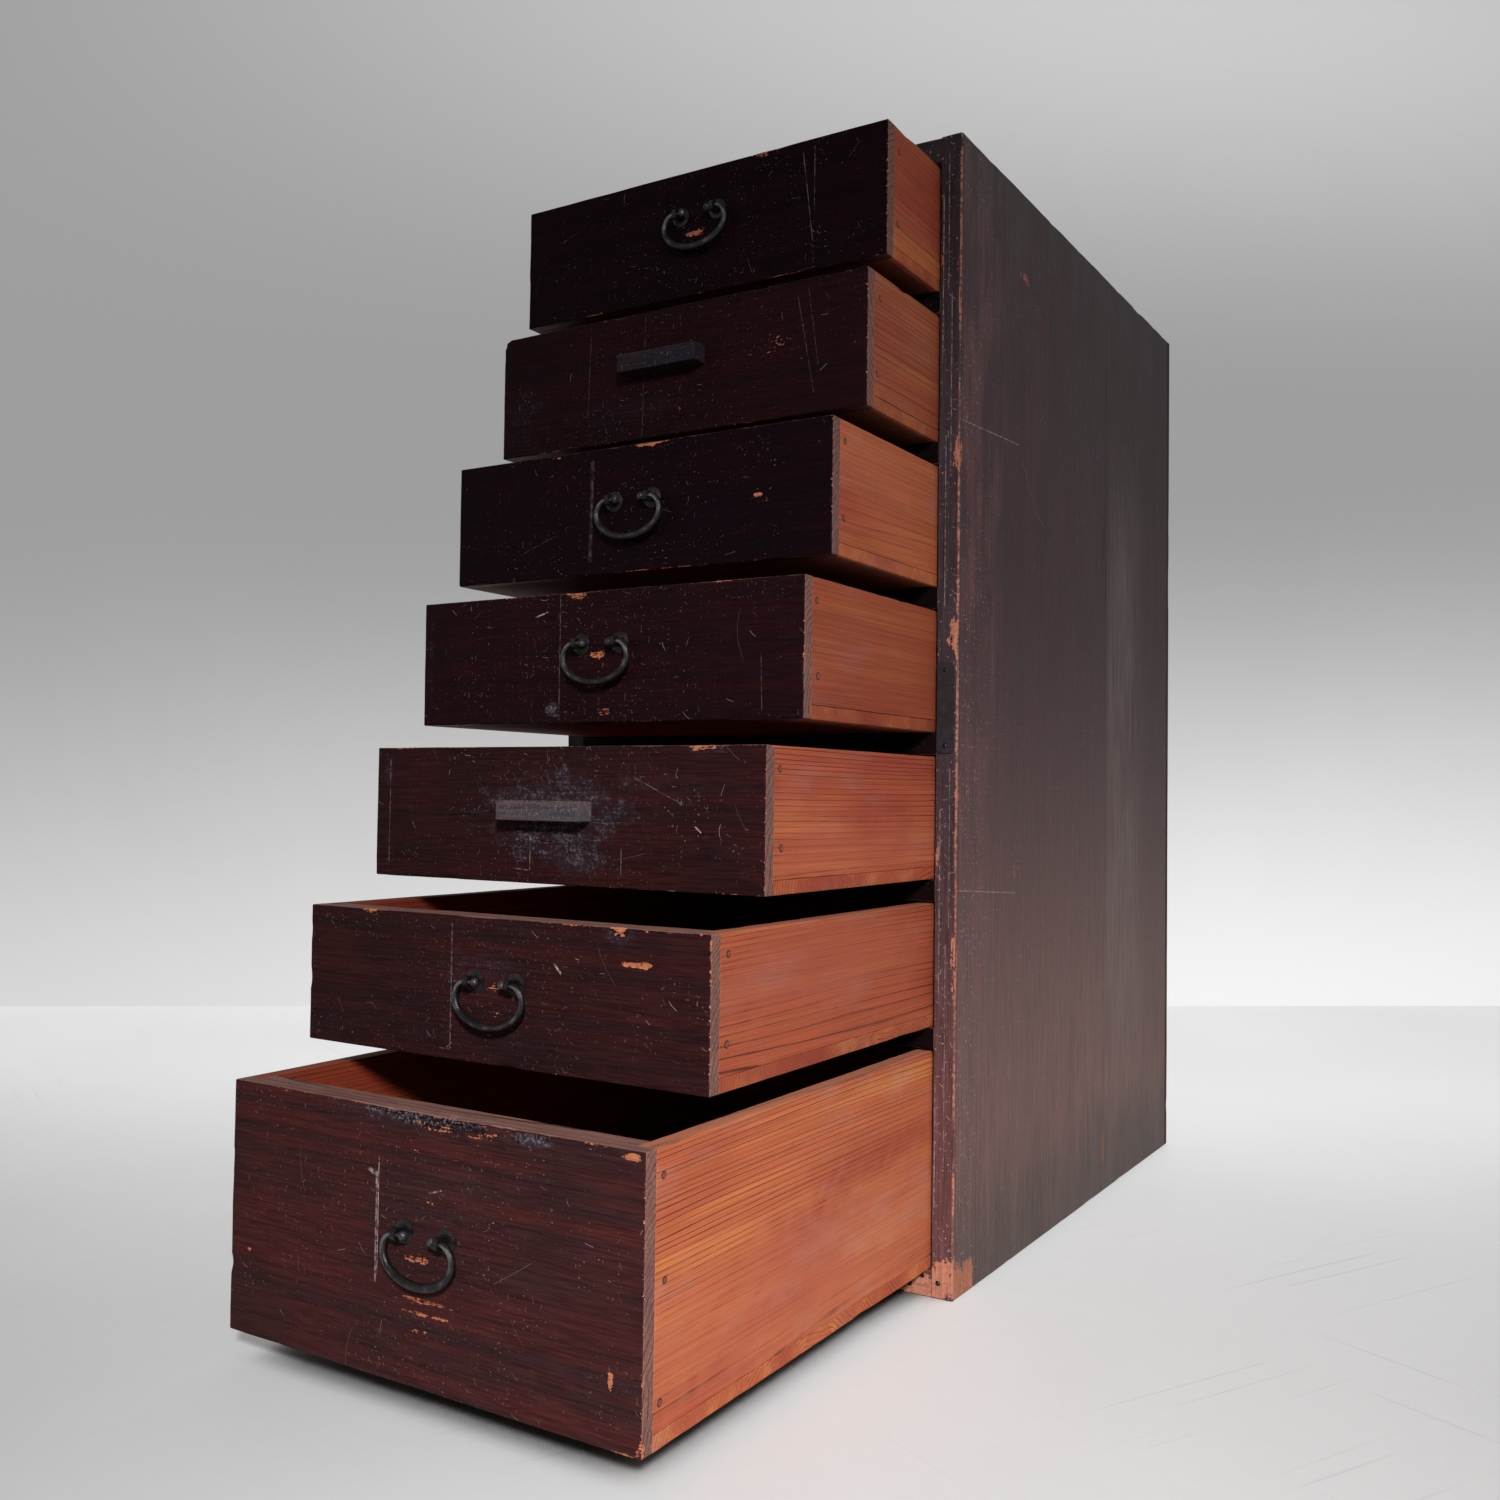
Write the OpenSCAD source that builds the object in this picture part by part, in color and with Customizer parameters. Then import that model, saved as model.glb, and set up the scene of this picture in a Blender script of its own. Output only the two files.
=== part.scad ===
// A portable drawer cabinet: a narrow upright wooden chest with seven drawers,
// shown with its drawers standing out further and further from top to bottom.
// All sizes are millimetres. The origin is the middle of the footprint, on the
// floor. +Z is up, the drawer fronts face -Y, and +X is to the right of
// someone who faces them. Lists of seven run from the top drawer to the bottom one.

/* [Case] */
// Width over the two side panels
case_w = 340; // [320:1:420]
// Depth from the front edges to the back of the back boards
case_d = 525; // [500:1:600]
// Thickness of a side panel
side_t = 16; // [14:0.5:22]
// Thickness of the top board
top_t = 18; // [14:0.5:24]
// Thickness of the base board
base_t = 18; // [14:0.5:24]
// Thickness of the back boards
back_t = 8; // [6:0.5:12]
// Width of the front one of the two boards that are glued into a side panel
seam_y = 322; // [250:1:400]
// Number of upright boards across the back
back_boards_n = 3; // [2:1:5]
// How deep boards and rails are let into the side panels
housing = 5; // [3:0.5:6]
// Distance from the front edge at which a hidden housing starts
housing_stop = 12; // [6:1:20]
// Shrinkage gap between two back boards
back_gap = 0.6; // [0.2:0.1:2]
// Worn chamfer on the case's outer edges
arris = 1.2; // [0.4:0.1:3]

/* [Openings] */
// Height of the two upper openings
upper_open_h = 90.5; // [80:0.5:120]
// Height of the four middle openings
middle_open_h = 86; // [80:0.5:120]
// Height of the deep bottom opening
deep_open_h = 149; // [130:0.5:200]
// Height of the front rail between two openings
rail_h = 15; // [12:0.5:22]
// Depth of a front rail
rail_d = 45; // [30:1:80]
// Height of the runner behind a rail, along each side
runner_h = 12; // [8:0.5:12]
// Width of a runner
runner_w = 22; // [12:1:40]

/* [Drawers] */
// Play beside a drawer, on each side
side_play = 2.5; // [1:0.25:4]
// Play above a drawer
top_play = 1.2; // [0.5:0.1:3]
// Running gap under a drawer
run_gap = 0.3; // [0.2:0.05:0.6]
// Room behind a drawer that is pushed home
room_behind = 12; // [5:1:40]
// Thickness of a drawer front
front_t = 20; // [16:0.5:26]
// Thickness of the lip that covers the ends of the sides and the bottom
lip_t = 9; // [6:0.5:12]
// Thickness of a drawer side
wall_t = 12; // [9:0.5:14]
// Thickness of a drawer back
drawer_back_t = 10; // [8:0.5:14]
// Thickness of a drawer bottom
bottom_t = 8.5; // [6:0.5:12]
// How far a drawer back is let into the sides
back_housing = 5; // [3:0.5:7]
// How far a drawer back stays below the upper edge of the sides
back_drop = 6; // [0:0.5:20]
// Worn chamfer on the edges of the drawer boards
ease = 0.8; // [0.3:0.1:1.5]
// How far each drawer stands out of the case
pull = [78, 104, 148, 180, 221, 274, 329]; // [0:1:420]

/* [Bail handles] */
// Place of each handle to the right of the drawer's middle
handle_x = [4, -4.5, 2.5, 2.5, -3, 3.5, 6.5]; // [-20:0.5:20]
// Height of each handle above the drawer's lower edge
handle_z = [57, 51, 47.5, 50.5, 45, 47.5, 82]; // [45:0.5:90]
// Distance between the two eyes of a bail
eye_gap = 31; // [26:0.5:60]
// Distance from the drawer front to the middle of an eye
eye_out = 6.2; // [6:0.1:9]
// Bore of an eye
eye_bore_d = 4.2; // [4:0.1:5]
// Thickness of the strip that an eye pin is bent from
strip_t = 1.5; // [1:0.1:1.6]
// Width of that strip
strip_w = 3.4; // [2.5:0.1:3.6]
// Length of each leg that is turned over behind the front
clinch = 9; // [5:0.5:12]
// Diameter of the round plate behind an eye
rose_d = 13.5; // [11:0.5:18]
// Thickness of that plate in its middle
rose_t = 1.3; // [0.8:0.1:1.4]
// Width over the bail
bail_w = 55; // [52:0.5:90]
// Drop from the middle of the eyes to the lowest edge of the bail
bail_drop = 28; // [24:0.5:32]
// Height over which the bail's shoulders turn down
bail_shoulder = 9; // [6:0.5:12]
// Thickness of the bail at its grip
bail_grip_d = 5.4; // [4:0.1:6]
// Thickness of the bail beside the eyes
bail_end_d = 4; // [3.9:0.1:5]
// Diameter of the bail's ends inside the eyes
pivot_d = 3.6; // [3:0.1:3.6]
// Diameter of the knobs that keep those ends in the eyes
knob_d = 5.6; // [5:0.1:7]
// Play beside an eye
eye_play = 0.4; // [0.3:0.1:1]

/* [Bar pulls] */
// Length of a wooden bar pull
bar_l = 65; // [40:1:90]
// Height of a bar pull
bar_h = 12.5; // [9:0.5:20]
// How far a bar pull stands out of the drawer front
bar_out = 13; // [8:0.5:20]
// Diameter of the dowels that hold a bar pull
dowel_d = 6; // [4:0.5:7]
// Depth of a dowel in the drawer front
dowel_in = 9; // [5:0.5:12]
// Distance between the two dowels of a bar pull
dowel_gap = 40; // [20:1:50]
// Chamfer along the edges of a bar pull
bar_ease = 1.5; // [0.5:0.1:3]

/* [Iron plate and nails] */
// Width of the iron plate on the right front edge
plate_w = 12; // [8:0.5:14]
// Height of the plate
plate_h = 62; // [30:1:80]
// Thickness of the plate
plate_t = 1.2; // [0.8:0.1:2]
// Height of the plate's lower edge above the floor
plate_z = 370; // [300:1:420]
// Distance of a nail from the end of the plate
plate_nail_in = 5; // [4:0.5:10]
// Diameter of a nail's shank
nail_d = 1.8; // [1.2:0.1:2.2]
// Diameter of a nail's head
nail_head_d = 3.8; // [3:0.1:5]
// Thickness of a nail's head
nail_head_t = 0.9; // [0.5:0.1:1.5]
// Length of a nail
nail_l = 16; // [12:1:25]
// Nails in each outer edge of the back
back_nails_n = 6; // [3:1:9]

/* [Hidden] */
$fn = 48;
DRAWERS = [1 : 7];
BAILS = [1, 3, 4, 6, 7];
BARS = [2, 5];

CASE_WOOD = "#3b3034";
FRONT_WOOD = "#4a2e33";
DRAWER_WOOD = "#b5713f";
BACK_WOOD = "#6b4d38";
IRON = "#33302f";

// Openings, from the top one down, and the height of the case that they give
open_h = [upper_open_h, upper_open_h, middle_open_h, middle_open_h,
    middle_open_h, middle_open_h, deep_open_h];
function sum(list, n) = n == 0 ? 0 : list[n - 1] + sum(list, n - 1);
case_h = top_t + sum(open_h, 7) + 6 * rail_h + base_t;
function open_z(n) = case_h - top_t - sum(open_h, n) - (n - 1) * rail_h;

inner_w = case_w - 2 * side_t;
front_y = -case_d / 2;
back_y = case_d / 2 - back_t;
through = 1;

drawer_w = inner_w - 2 * side_play;
drawer_l = case_d - back_t - room_behind;
function drawer_h(n) = open_h[n - 1] - top_play - run_gap;

// The two strips of an eye pin lie flat against each other in a round hole
fit = 0.1;
pin_hole_d = 2 * norm([strip_w / 2, strip_t]) + 2 * fit;
eye_d = eye_bore_d + 2 * strip_t;
clinch_point = 2.5;
rose_rim_t = 0.5;

// A bail leaves its eyes sideways, turns down over two shoulders and sags to
// its grip. Places are [x, z] from the middle between the eyes.
bail_start_x = eye_gap / 2 + strip_w / 2 + eye_play;
bail_low = bail_drop - bail_grip_d / 2;
function bail_r(z) = (bail_end_d + (bail_grip_d - bail_end_d) * pow(-z / bail_low, 1.5)) / 2;
bail_side_x = bail_w / 2 - bail_r(-bail_shoulder);
bail_sides = 12;
shoulder_steps = 6;
grip_steps = 24;
pivot_overlap = 0.5;
shoulder = [for (i = [0 : shoulder_steps]) let (a = 90 - 90 * i / shoulder_steps)
    [bail_start_x + (bail_side_x - bail_start_x) * cos(a), bail_shoulder * (sin(a) - 1)]];
grip = [for (i = [1 : grip_steps - 1]) let (a = 180 * i / grip_steps)
    [bail_side_x * cos(a), -bail_shoulder - (bail_low - bail_shoulder) * sin(a)]];
other_shoulder = [for (i = [0 : shoulder_steps]) let (p = shoulder[shoulder_steps - i]) [-p.x, p.y]];
bail_path = concat(shoulder, grip, other_shoulder);

plate_x = inner_w / 2 + 1;
plate_clip = 1.5;
plate_nails = [for (z = [plate_nail_in, plate_h - plate_nail_in])
    [plate_x + plate_w / 2, plate_z + z]];
// Nails left over in the lower right corner, each [distance from the outer side, height]
corner_nail_places = [[11, 10.5], [32, 7], [22.5, 14]];
corner_nails = [for (p = corner_nail_places) [case_w / 2 - p.x, p.y]];

back_board_w = case_w / back_boards_n;
back_nail_pitch = (case_h - base_t - top_t) / back_nails_n;
back_edge_nails = [for (side = [-1, 1], i = [0 : back_nails_n - 1])
    [side * (case_w - side_t) / 2, base_t + (i + 0.5) * back_nail_pitch]];
back_end_nails = [for (b = [0 : back_boards_n - 1], q = [0.25, 0.75], z = [base_t / 2, case_h - top_t / 2])
    [(b + q) * back_board_w - case_w / 2, z]];
back_nails = concat(back_edge_nails, back_end_nails);
nail_point = 3;

// Moves what follows to a drawer's own place: x from its middle,
// y from its front face towards the back, z from its lower edge
module at_drawer(n) {
    translate([0, front_y - pull[n - 1], open_z(n) + run_gap]) children();
}

// Moves what follows to the middle of a drawer's handle, on its front face
module at_handle(n) {
    at_drawer(n) translate([handle_x[n - 1], 0, handle_z[n - 1]]) children();
}

// An outline drawn in Y and Z, carried across from x = -w / 2 to x = w / 2
module across(w) {
    translate([-w / 2, 0, 0]) rotate([90, 0, 90]) linear_extrude(w) children();
}

// An outline drawn in X and Z, carried back from y = 0 to y = l
module along(l) {
    translate([0, l, 0]) rotate([90, 0, 0]) linear_extrude(l) children();
}

// A round bar or hole along Y, from y0 to y1
module rod_y(d, y0, y1) {
    translate([0, y1, 0]) rotate([90, 0, 0]) cylinder(d = d, h = y1 - y0);
}

// A nail that is driven along +Y, with the underside of its head at y = 0
module nail() {
    rotate([-90, 0, 0]) rotate_extrude() polygon([
        [0, -nail_head_t], [nail_head_d / 4, -nail_head_t], [nail_head_d / 2, -nail_head_t / 3],
        [nail_head_d / 2, 0], [nail_d / 2, 0], [nail_d / 2, nail_l - nail_point], [0, nail_l]
    ]);
}

// Every nail hole of the case, as rods to be cut away
module nail_holes() {
    for (p = concat(plate_nails, corner_nails))
        translate([p.x, front_y, p.y]) rod_y(nail_d + 2 * fit, -through - plate_t, nail_l + fit);
    for (p = back_nails)
        translate([p.x, case_d / 2, p.y]) rod_y(nail_d + 2 * fit, -nail_l - fit, through);
}

// Outlines of what is let into the side panels, drawn in Y and Z: the top and
// base boards over their whole thickness, each rail over the middle of its height
module housing_outlines() {
    y0 = front_y + housing_stop;
    translate([y0, case_h - top_t]) square([back_y - y0, top_t]);
    translate([y0, 0]) square([back_y - y0, base_t]);
    for (n = [1 : 6])
        translate([y0, open_z(n) - rail_h * 3 / 4]) square([rail_d - housing_stop, rail_h / 2]);
}

// One board of a side panel, from y0 to y1, on the side given by -1 or 1
module side_board(side, y0, y1) {
    x0 = inner_w / 2;
    x1 = case_w / 2;
    worn = y0 == front_y ? arris : 0;
    color(CASE_WOOD) difference() {
        mirror([side < 0 ? 1 : 0, 0, 0]) intersection() {
            linear_extrude(case_h)
                polygon([[x0, y0], [x1 - worn, y0], [x1, y0 + worn], [x1, y1], [x0, y1]]);
            translate([0, y0, 0]) along(y1 - y0)
                polygon([[x0, 0], [x1, 0], [x1, case_h - arris], [x1 - arris, case_h], [x0, case_h]]);
        }
        across(inner_w + 2 * housing) housing_outlines();
        nail_holes();
    }
}

module side_left_front_board() { side_board(-1, front_y, front_y + seam_y); }
module side_left_back_board() { side_board(-1, front_y + seam_y, back_y); }
module side_right_front_board() { side_board(1, front_y, front_y + seam_y); }
module side_right_back_board() { side_board(1, front_y + seam_y, back_y); }

// A board between the side panels whose ends are let into them
module housed_board(z, t) {
    w = inner_w + 2 * housing;
    y0 = front_y + housing_stop;
    color(CASE_WOOD) difference() {
        translate([0, 0, z]) linear_extrude(t) {
            translate([-inner_w / 2, front_y]) square([inner_w, case_d - back_t]);
            translate([-w / 2, y0]) square([w, back_y - y0]);
        }
        nail_holes();
    }
}

module top_board() { housed_board(case_h - top_t, top_t); }
module base_board() { housed_board(0, base_t); }

// Upright boards side by side over the whole back
module back_boards() {
    color(BACK_WOOD) difference() {
        for (b = [0 : back_boards_n - 1]) {
            x0 = b == 0 ? 0 : back_gap / 2;
            x1 = b == back_boards_n - 1 ? 0 : back_gap / 2;
            translate([b * back_board_w - case_w / 2 + x0, back_y, 0])
                cube([back_board_w - x0 - x1, back_t, case_h]);
        }
        nail_holes();
    }
}

// The rails that show between the drawers, each with a stub tenon at both ends
module front_rails() {
    color(CASE_WOOD) for (n = [1 : 6]) translate([0, front_y, open_z(n) - rail_h]) {
        across(inner_w) polygon([
            [0, ease], [ease, 0], [rail_d, 0], [rail_d, rail_h], [ease, rail_h], [0, rail_h - ease]
        ]);
        across(inner_w + 2 * housing)
            translate([housing_stop, rail_h / 4]) square([rail_d - housing_stop, rail_h / 2]);
    }
}

// The runners behind the rails, along one side panel
module runners(side) {
    x0 = side < 0 ? -inner_w / 2 : inner_w / 2 - runner_w;
    color(DRAWER_WOOD) for (n = [1 : 6])
        translate([x0, front_y + rail_d, open_z(n) - runner_h])
            cube([runner_w, back_y - front_y - rail_d, runner_h]);
}

module runners_left() { runners(-1); }
module runners_right() { runners(1); }

module iron_plate() {
    color(IRON) difference() {
        translate([plate_x, front_y - plate_t, plate_z]) along(plate_t) polygon([
            [plate_clip, 0], [plate_w - plate_clip, 0], [plate_w, plate_clip],
            [plate_w, plate_h - plate_clip], [plate_w - plate_clip, plate_h],
            [plate_clip, plate_h], [0, plate_h - plate_clip], [0, plate_clip]
        ]);
        nail_holes();
    }
}

module case_nails() {
    color(IRON) {
        for (p = plate_nails) translate([p.x, front_y - plate_t, p.y]) nail();
        for (p = corner_nails) translate([p.x, front_y, p.y]) nail();
        for (p = back_nails) translate([p.x, case_d / 2, p.y]) rotate([0, 0, 180]) nail();
    }
}

// A drawer front. A lip covers the ends of the sides and of the bottom, and the
// thicker tongue behind it stands between them.
module drawer_front(n) {
    h = drawer_h(n);
    x0 = drawer_w / 2;
    x1 = x0 - wall_t;
    color(FRONT_WOOD) at_drawer(n) difference() {
        intersection() {
            linear_extrude(h) polygon([
                [ease - x0, 0], [x0 - ease, 0], [x0, ease], [x0, lip_t], [x1, lip_t],
                [x1, front_t], [-x1, front_t], [-x1, lip_t], [-x0, lip_t], [-x0, ease]
            ]);
            across(drawer_w) polygon([
                [0, ease], [ease, 0], [lip_t, 0], [lip_t, bottom_t],
                [front_t, bottom_t], [front_t, h], [ease, h], [0, h - ease]
            ]);
        }
        translate([handle_x[n - 1], 0, handle_z[n - 1]]) handle_holes(n);
    }
}

// The two holes of a drawer's handle
module handle_holes(n) {
    bar = len([for (b = BARS) if (b == n) b]) > 0;
    gap = bar ? dowel_gap : eye_gap;
    for (side = [-1, 1]) translate([side * gap / 2, 0, 0]) {
        if (bar) rod_y(dowel_d, -through, dowel_in);
        else rod_y(pin_hole_d, -through, front_t + through);
    }
}

// A drawer side, with a housing for the drawer's back
module drawer_side(n, side) {
    h = drawer_h(n);
    x0 = drawer_w / 2 - wall_t;
    x1 = drawer_w / 2;
    color(DRAWER_WOOD) at_drawer(n) mirror([side < 0 ? 1 : 0, 0, 0]) difference() {
        translate([0, lip_t, 0]) along(drawer_l - lip_t) polygon([
            [x0, bottom_t], [x1, bottom_t], [x1, h - ease], [x1 - ease, h], [x0 + ease, h], [x0, h - ease]
        ]);
        translate([x0 - through, drawer_l - drawer_back_t, bottom_t - through])
            cube([back_housing + through, drawer_back_t + through, h - back_drop - bottom_t + through]);
    }
}

module drawer_back(n) {
    w = drawer_w - 2 * wall_t + 2 * back_housing;
    color(DRAWER_WOOD) at_drawer(n) translate([-w / 2, drawer_l - drawer_back_t, bottom_t])
        cube([w, drawer_back_t, drawer_h(n) - back_drop - bottom_t]);
}

module drawer_bottom(n) {
    x0 = drawer_w / 2;
    color(DRAWER_WOOD) at_drawer(n) translate([0, lip_t, 0]) along(drawer_l - lip_t)
        polygon([[ease - x0, 0], [x0 - ease, 0], [x0, ease], [x0, bottom_t], [-x0, bottom_t], [-x0, ease]]);
}

// An eye pin: a strip bent round a bore along X, whose two legs go back through
// the front and are turned over behind it, one up and one down
module eye_pin() {
    translate([-strip_w / 2, -eye_out, 0]) rotate([0, 90, 0]) difference() {
        cylinder(d = eye_d, h = strip_w);
        translate([0, 0, -through]) cylinder(d = eye_bore_d, h = strip_w + 2 * through);
    }
    leg_y = -eye_out + eye_bore_d / 2 + strip_t / 3;
    translate([-strip_w / 2, leg_y, -strip_t]) cube([strip_w, front_t + strip_t - leg_y, 2 * strip_t]);
    translate([0, front_t, 0]) along(strip_t) polygon([
        [-strip_w / 2, clinch_point - clinch], [0, -clinch], [strip_w / 2, clinch_point - clinch],
        [strip_w / 2, clinch - clinch_point], [0, clinch], [-strip_w / 2, clinch - clinch_point]
    ]);
}

// The round plate behind an eye, thinner towards its rim
module rose() {
    rotate([90, 0, 0]) rotate_extrude() polygon([
        [pin_hole_d / 2, 0], [rose_d / 2, 0], [rose_d / 2, rose_rim_t],
        [rose_d / 3, rose_t], [pin_hole_d / 2, rose_t]
    ]);
}

module eye_pins(n) {
    color(IRON) at_handle(n) for (side = [-1, 1]) translate([side * eye_gap / 2, 0, 0]) {
        eye_pin();
        rose();
    }
}

// The ring of points round place i of the bail's path
function bail_ring(i) =
    let (p = bail_path[i], last = len(bail_path) - 1)
    let (step = i == 0 ? [1, 0] : i == last ? [1, 0] : bail_path[i + 1] - bail_path[i - 1])
    let (t = step / norm(step), r = bail_r(p.y))
    [for (k = [0 : bail_sides - 1]) let (a = 360 * (k + 0.5) / bail_sides)
        [p.x - t.y * r * cos(a), r * sin(a), p.y + t.x * r * cos(a)]];

// The bail: a swept bar that is thickest at its grip, with round ends that
// turn in the eyes and a knob on each end
module bail(n) {
    rings = len(bail_path);
    m = bail_sides;
    points = [for (i = [0 : rings - 1]) each bail_ring(i)];
    skin = [for (i = [0 : rings - 2], k = [0 : m - 1]) let (a = i * m + k, b = i * m + (k + 1) % m)
        each [[a, b, b + m], [a, b + m, a + m]]];
    ends = [for (k = [1 : m - 2]) each [[0, k + 1, k], (rings - 1) * m * [1, 1, 1] + [0, k, k + 1]]];
    knob_x = eye_gap / 2 - strip_w / 2 - eye_play - knob_d / 2;
    color(IRON) at_handle(n) translate([0, -eye_out, 0]) {
        polyhedron(points, concat(skin, ends));
        for (side = [-1, 1]) {
            translate([side * knob_x, 0, 0]) sphere(d = knob_d);
            translate([side * knob_x, 0, 0]) rotate([0, side * 90, 0])
                cylinder(d = pivot_d, h = bail_start_x + pivot_overlap - knob_x);
        }
    }
}

// A squared wooden bar on two dowels
module bar_pull(n) {
    x0 = bar_l / 2;
    z0 = bar_h / 2;
    e = bar_ease;
    color(FRONT_WOOD) at_handle(n) {
        intersection() {
            across(bar_l) polygon([
                [0, -z0], [e - bar_out, -z0], [-bar_out, e - z0],
                [-bar_out, z0 - e], [e - bar_out, z0], [0, z0]
            ]);
            translate([0, 0, -z0]) linear_extrude(bar_h) polygon([
                [-x0, 0], [-x0, e - bar_out], [e - x0, -bar_out],
                [x0 - e, -bar_out], [x0, e - bar_out], [x0, 0]
            ]);
        }
        for (side = [-1, 1]) translate([side * dowel_gap / 2, 0, 0]) rod_y(dowel_d, -bar_out / 2, dowel_in);
    }
}

side_left_front_board();
side_left_back_board();
side_right_front_board();
side_right_back_board();
top_board();
base_board();
back_boards();
front_rails();
runners_left();
runners_right();
iron_plate();
case_nails();
for (n = DRAWERS) {
    drawer_front(n);
    drawer_side(n, -1);
    drawer_side(n, 1);
    drawer_back(n);
    drawer_bottom(n);
}
for (n = BAILS) {
    eye_pins(n);
    bail(n);
}
for (n = BARS)
    bar_pull(n);
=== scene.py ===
import math

import bmesh
import bpy
import numpy as np
from bpy.props import FloatProperty, FloatVectorProperty, IntProperty, PointerProperty
from mathutils import Matrix, Vector


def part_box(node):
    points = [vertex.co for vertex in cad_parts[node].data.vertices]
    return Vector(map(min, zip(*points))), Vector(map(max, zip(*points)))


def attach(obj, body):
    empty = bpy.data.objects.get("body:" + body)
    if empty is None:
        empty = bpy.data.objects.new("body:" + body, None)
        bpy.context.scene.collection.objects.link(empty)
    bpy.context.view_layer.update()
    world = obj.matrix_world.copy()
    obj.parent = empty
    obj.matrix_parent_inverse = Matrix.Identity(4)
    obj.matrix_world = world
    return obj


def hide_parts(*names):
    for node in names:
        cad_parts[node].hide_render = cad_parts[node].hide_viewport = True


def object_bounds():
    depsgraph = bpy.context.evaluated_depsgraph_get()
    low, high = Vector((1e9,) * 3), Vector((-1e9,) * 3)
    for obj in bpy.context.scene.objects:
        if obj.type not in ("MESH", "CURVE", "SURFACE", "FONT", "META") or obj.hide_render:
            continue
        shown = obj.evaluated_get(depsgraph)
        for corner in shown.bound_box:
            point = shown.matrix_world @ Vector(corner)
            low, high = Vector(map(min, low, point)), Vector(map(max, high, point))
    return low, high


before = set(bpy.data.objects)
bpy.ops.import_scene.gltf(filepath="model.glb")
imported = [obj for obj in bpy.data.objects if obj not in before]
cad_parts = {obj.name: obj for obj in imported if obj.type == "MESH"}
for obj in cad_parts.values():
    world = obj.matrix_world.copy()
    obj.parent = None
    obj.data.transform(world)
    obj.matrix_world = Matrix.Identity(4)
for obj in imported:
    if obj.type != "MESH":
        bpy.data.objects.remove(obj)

bl_info = {
    "name": "Drawer Cabinet",
    "version": (1, 0, 0),
    "blender": (4, 5, 0),
    "location": "3D View > Sidebar > Cabinet",
    "description": "Worn wooden boards, forged fittings and a plain stage for a portable drawer cabinet",
    "category": "Add Mesh",
}

MM = 0.001
CASE_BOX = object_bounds()
PHOTO_SIDE = 1500
DRAWERS = range(1, 8)
BAILS = (1, 3, 4, 6, 7)


def tint(red, sheen_mask, blue):
    """A colour as it looks on screen, 0 to 255, turned into linear values"""
    screen = [c / 255 for c in (red, sheen_mask, blue)]
    return tuple(c / 12.92 if c <= 0.04045 else ((c + 0.055) / 1.055) ** 2.4 for c in screen)


def length(name, description, default, top=0.05):
    """A size in metres that the user can change"""
    return FloatProperty(
        name=name, description=description, default=default, min=0.0, max=top,
        subtype="DISTANCE", unit="LENGTH", precision=5)


def colour(name, description, default):
    """A colour of three linear values that the user can change"""
    return FloatVectorProperty(
        name=name, description=description, default=default, size=3,
        min=0.0, max=1.0, subtype="COLOR")


def light(name, description, default):
    """The strength of a light that the user can change"""
    return FloatProperty(name=name, description=description, default=default, min=0.0)


# Settings

class CabinetWood(bpy.types.PropertyGroup):
    """Colours and grain of the wood and its lacquer"""
    lacquer: colour("Lacquer", "Lacquer of the upper drawer fronts", tint(16, 5, 10))
    # The fronts run from lacquer to lacquer_low: partly real browner lacquer, partly painted light, with
    # the upper fronts darkened and the lower ones lightened like the floor's reflection
    lacquer_low: colour("Lower lacquer", "Browner lacquer of the lowest front", tint(58, 32, 31))
    lacquer_line: colour("Lacquer lines", "Lacquer over the hard grain lines", tint(16, 7, 11))
    stain: colour("Stain", "Stain of the case", tint(57, 43, 46))
    # Rail stain: partly a dark stain, partly painted shade of the drawers over the front rails
    rail_stain_and_shade: colour("Rail stain", "Nearly black stain of the front rails", tint(16, 9, 9))
    stain_red: colour("Red streaks", "Redder streaks in the stain", tint(69, 43, 47))
    # Lower stain: partly a lighter real stain, partly painted light, as if more light fell low down
    stain_low_and_light: colour("Lower stain", "Lighter stain of the lower half", tint(116, 86, 80))
    stain_stile: colour("Edge stain", "Purple stain of the panels' front edges", tint(74, 60, 66))
    stain_foot: colour("Lower edge stain", "Redder foot of the panels' front edges", tint(112, 74, 74))
    stain_pale: colour("Pale stain", "Rubbed streaks behind the seam", tint(120, 106, 102))
    # Green cast: a painted sheen, like the pale floor reflected in the stain, near the foot and near the
    # top
    green_sheen: colour("Green cast", "Greyed stain near the foot and the top", tint(62, 62, 60))
    cedar: colour("Cedar", "Soft wood between the grain lines", tint(186, 96, 60))
    cedar_gold: colour("Golden cedar", "Lighter streaks in the cedar", tint(208, 126, 70))
    cedar_red: colour("Red cedar", "Redder clouds in the cedar", tint(164, 72, 50))
    cedar_pink: colour("Pink cedar", "Handled, smoother cedar", tint(192, 108, 82))
    cedar_line: colour("Cedar lines", "Hard dark lines of the cedar", tint(78, 26, 17))
    bare: colour("Bare wood", "Wood laid bare on worn edges", tint(188, 114, 82))
    dust: colour("Dust", "Dry grey wood on upper edges", tint(158, 134, 116))
    bloom: colour("Bloom", "Grey haze on the lacquer", tint(46, 41, 50))
    frost: colour("Frost", "Fine pale specks in the haze", tint(156, 148, 154))
    scratch: colour("Scratches", "Fine pale scratches", tint(188, 168, 164))
    ring: length("Ring width", "Distance between two grain lines", 0.0034)
    relief: length("Relief", "Height of the grain's relief", 0.00022)


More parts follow.
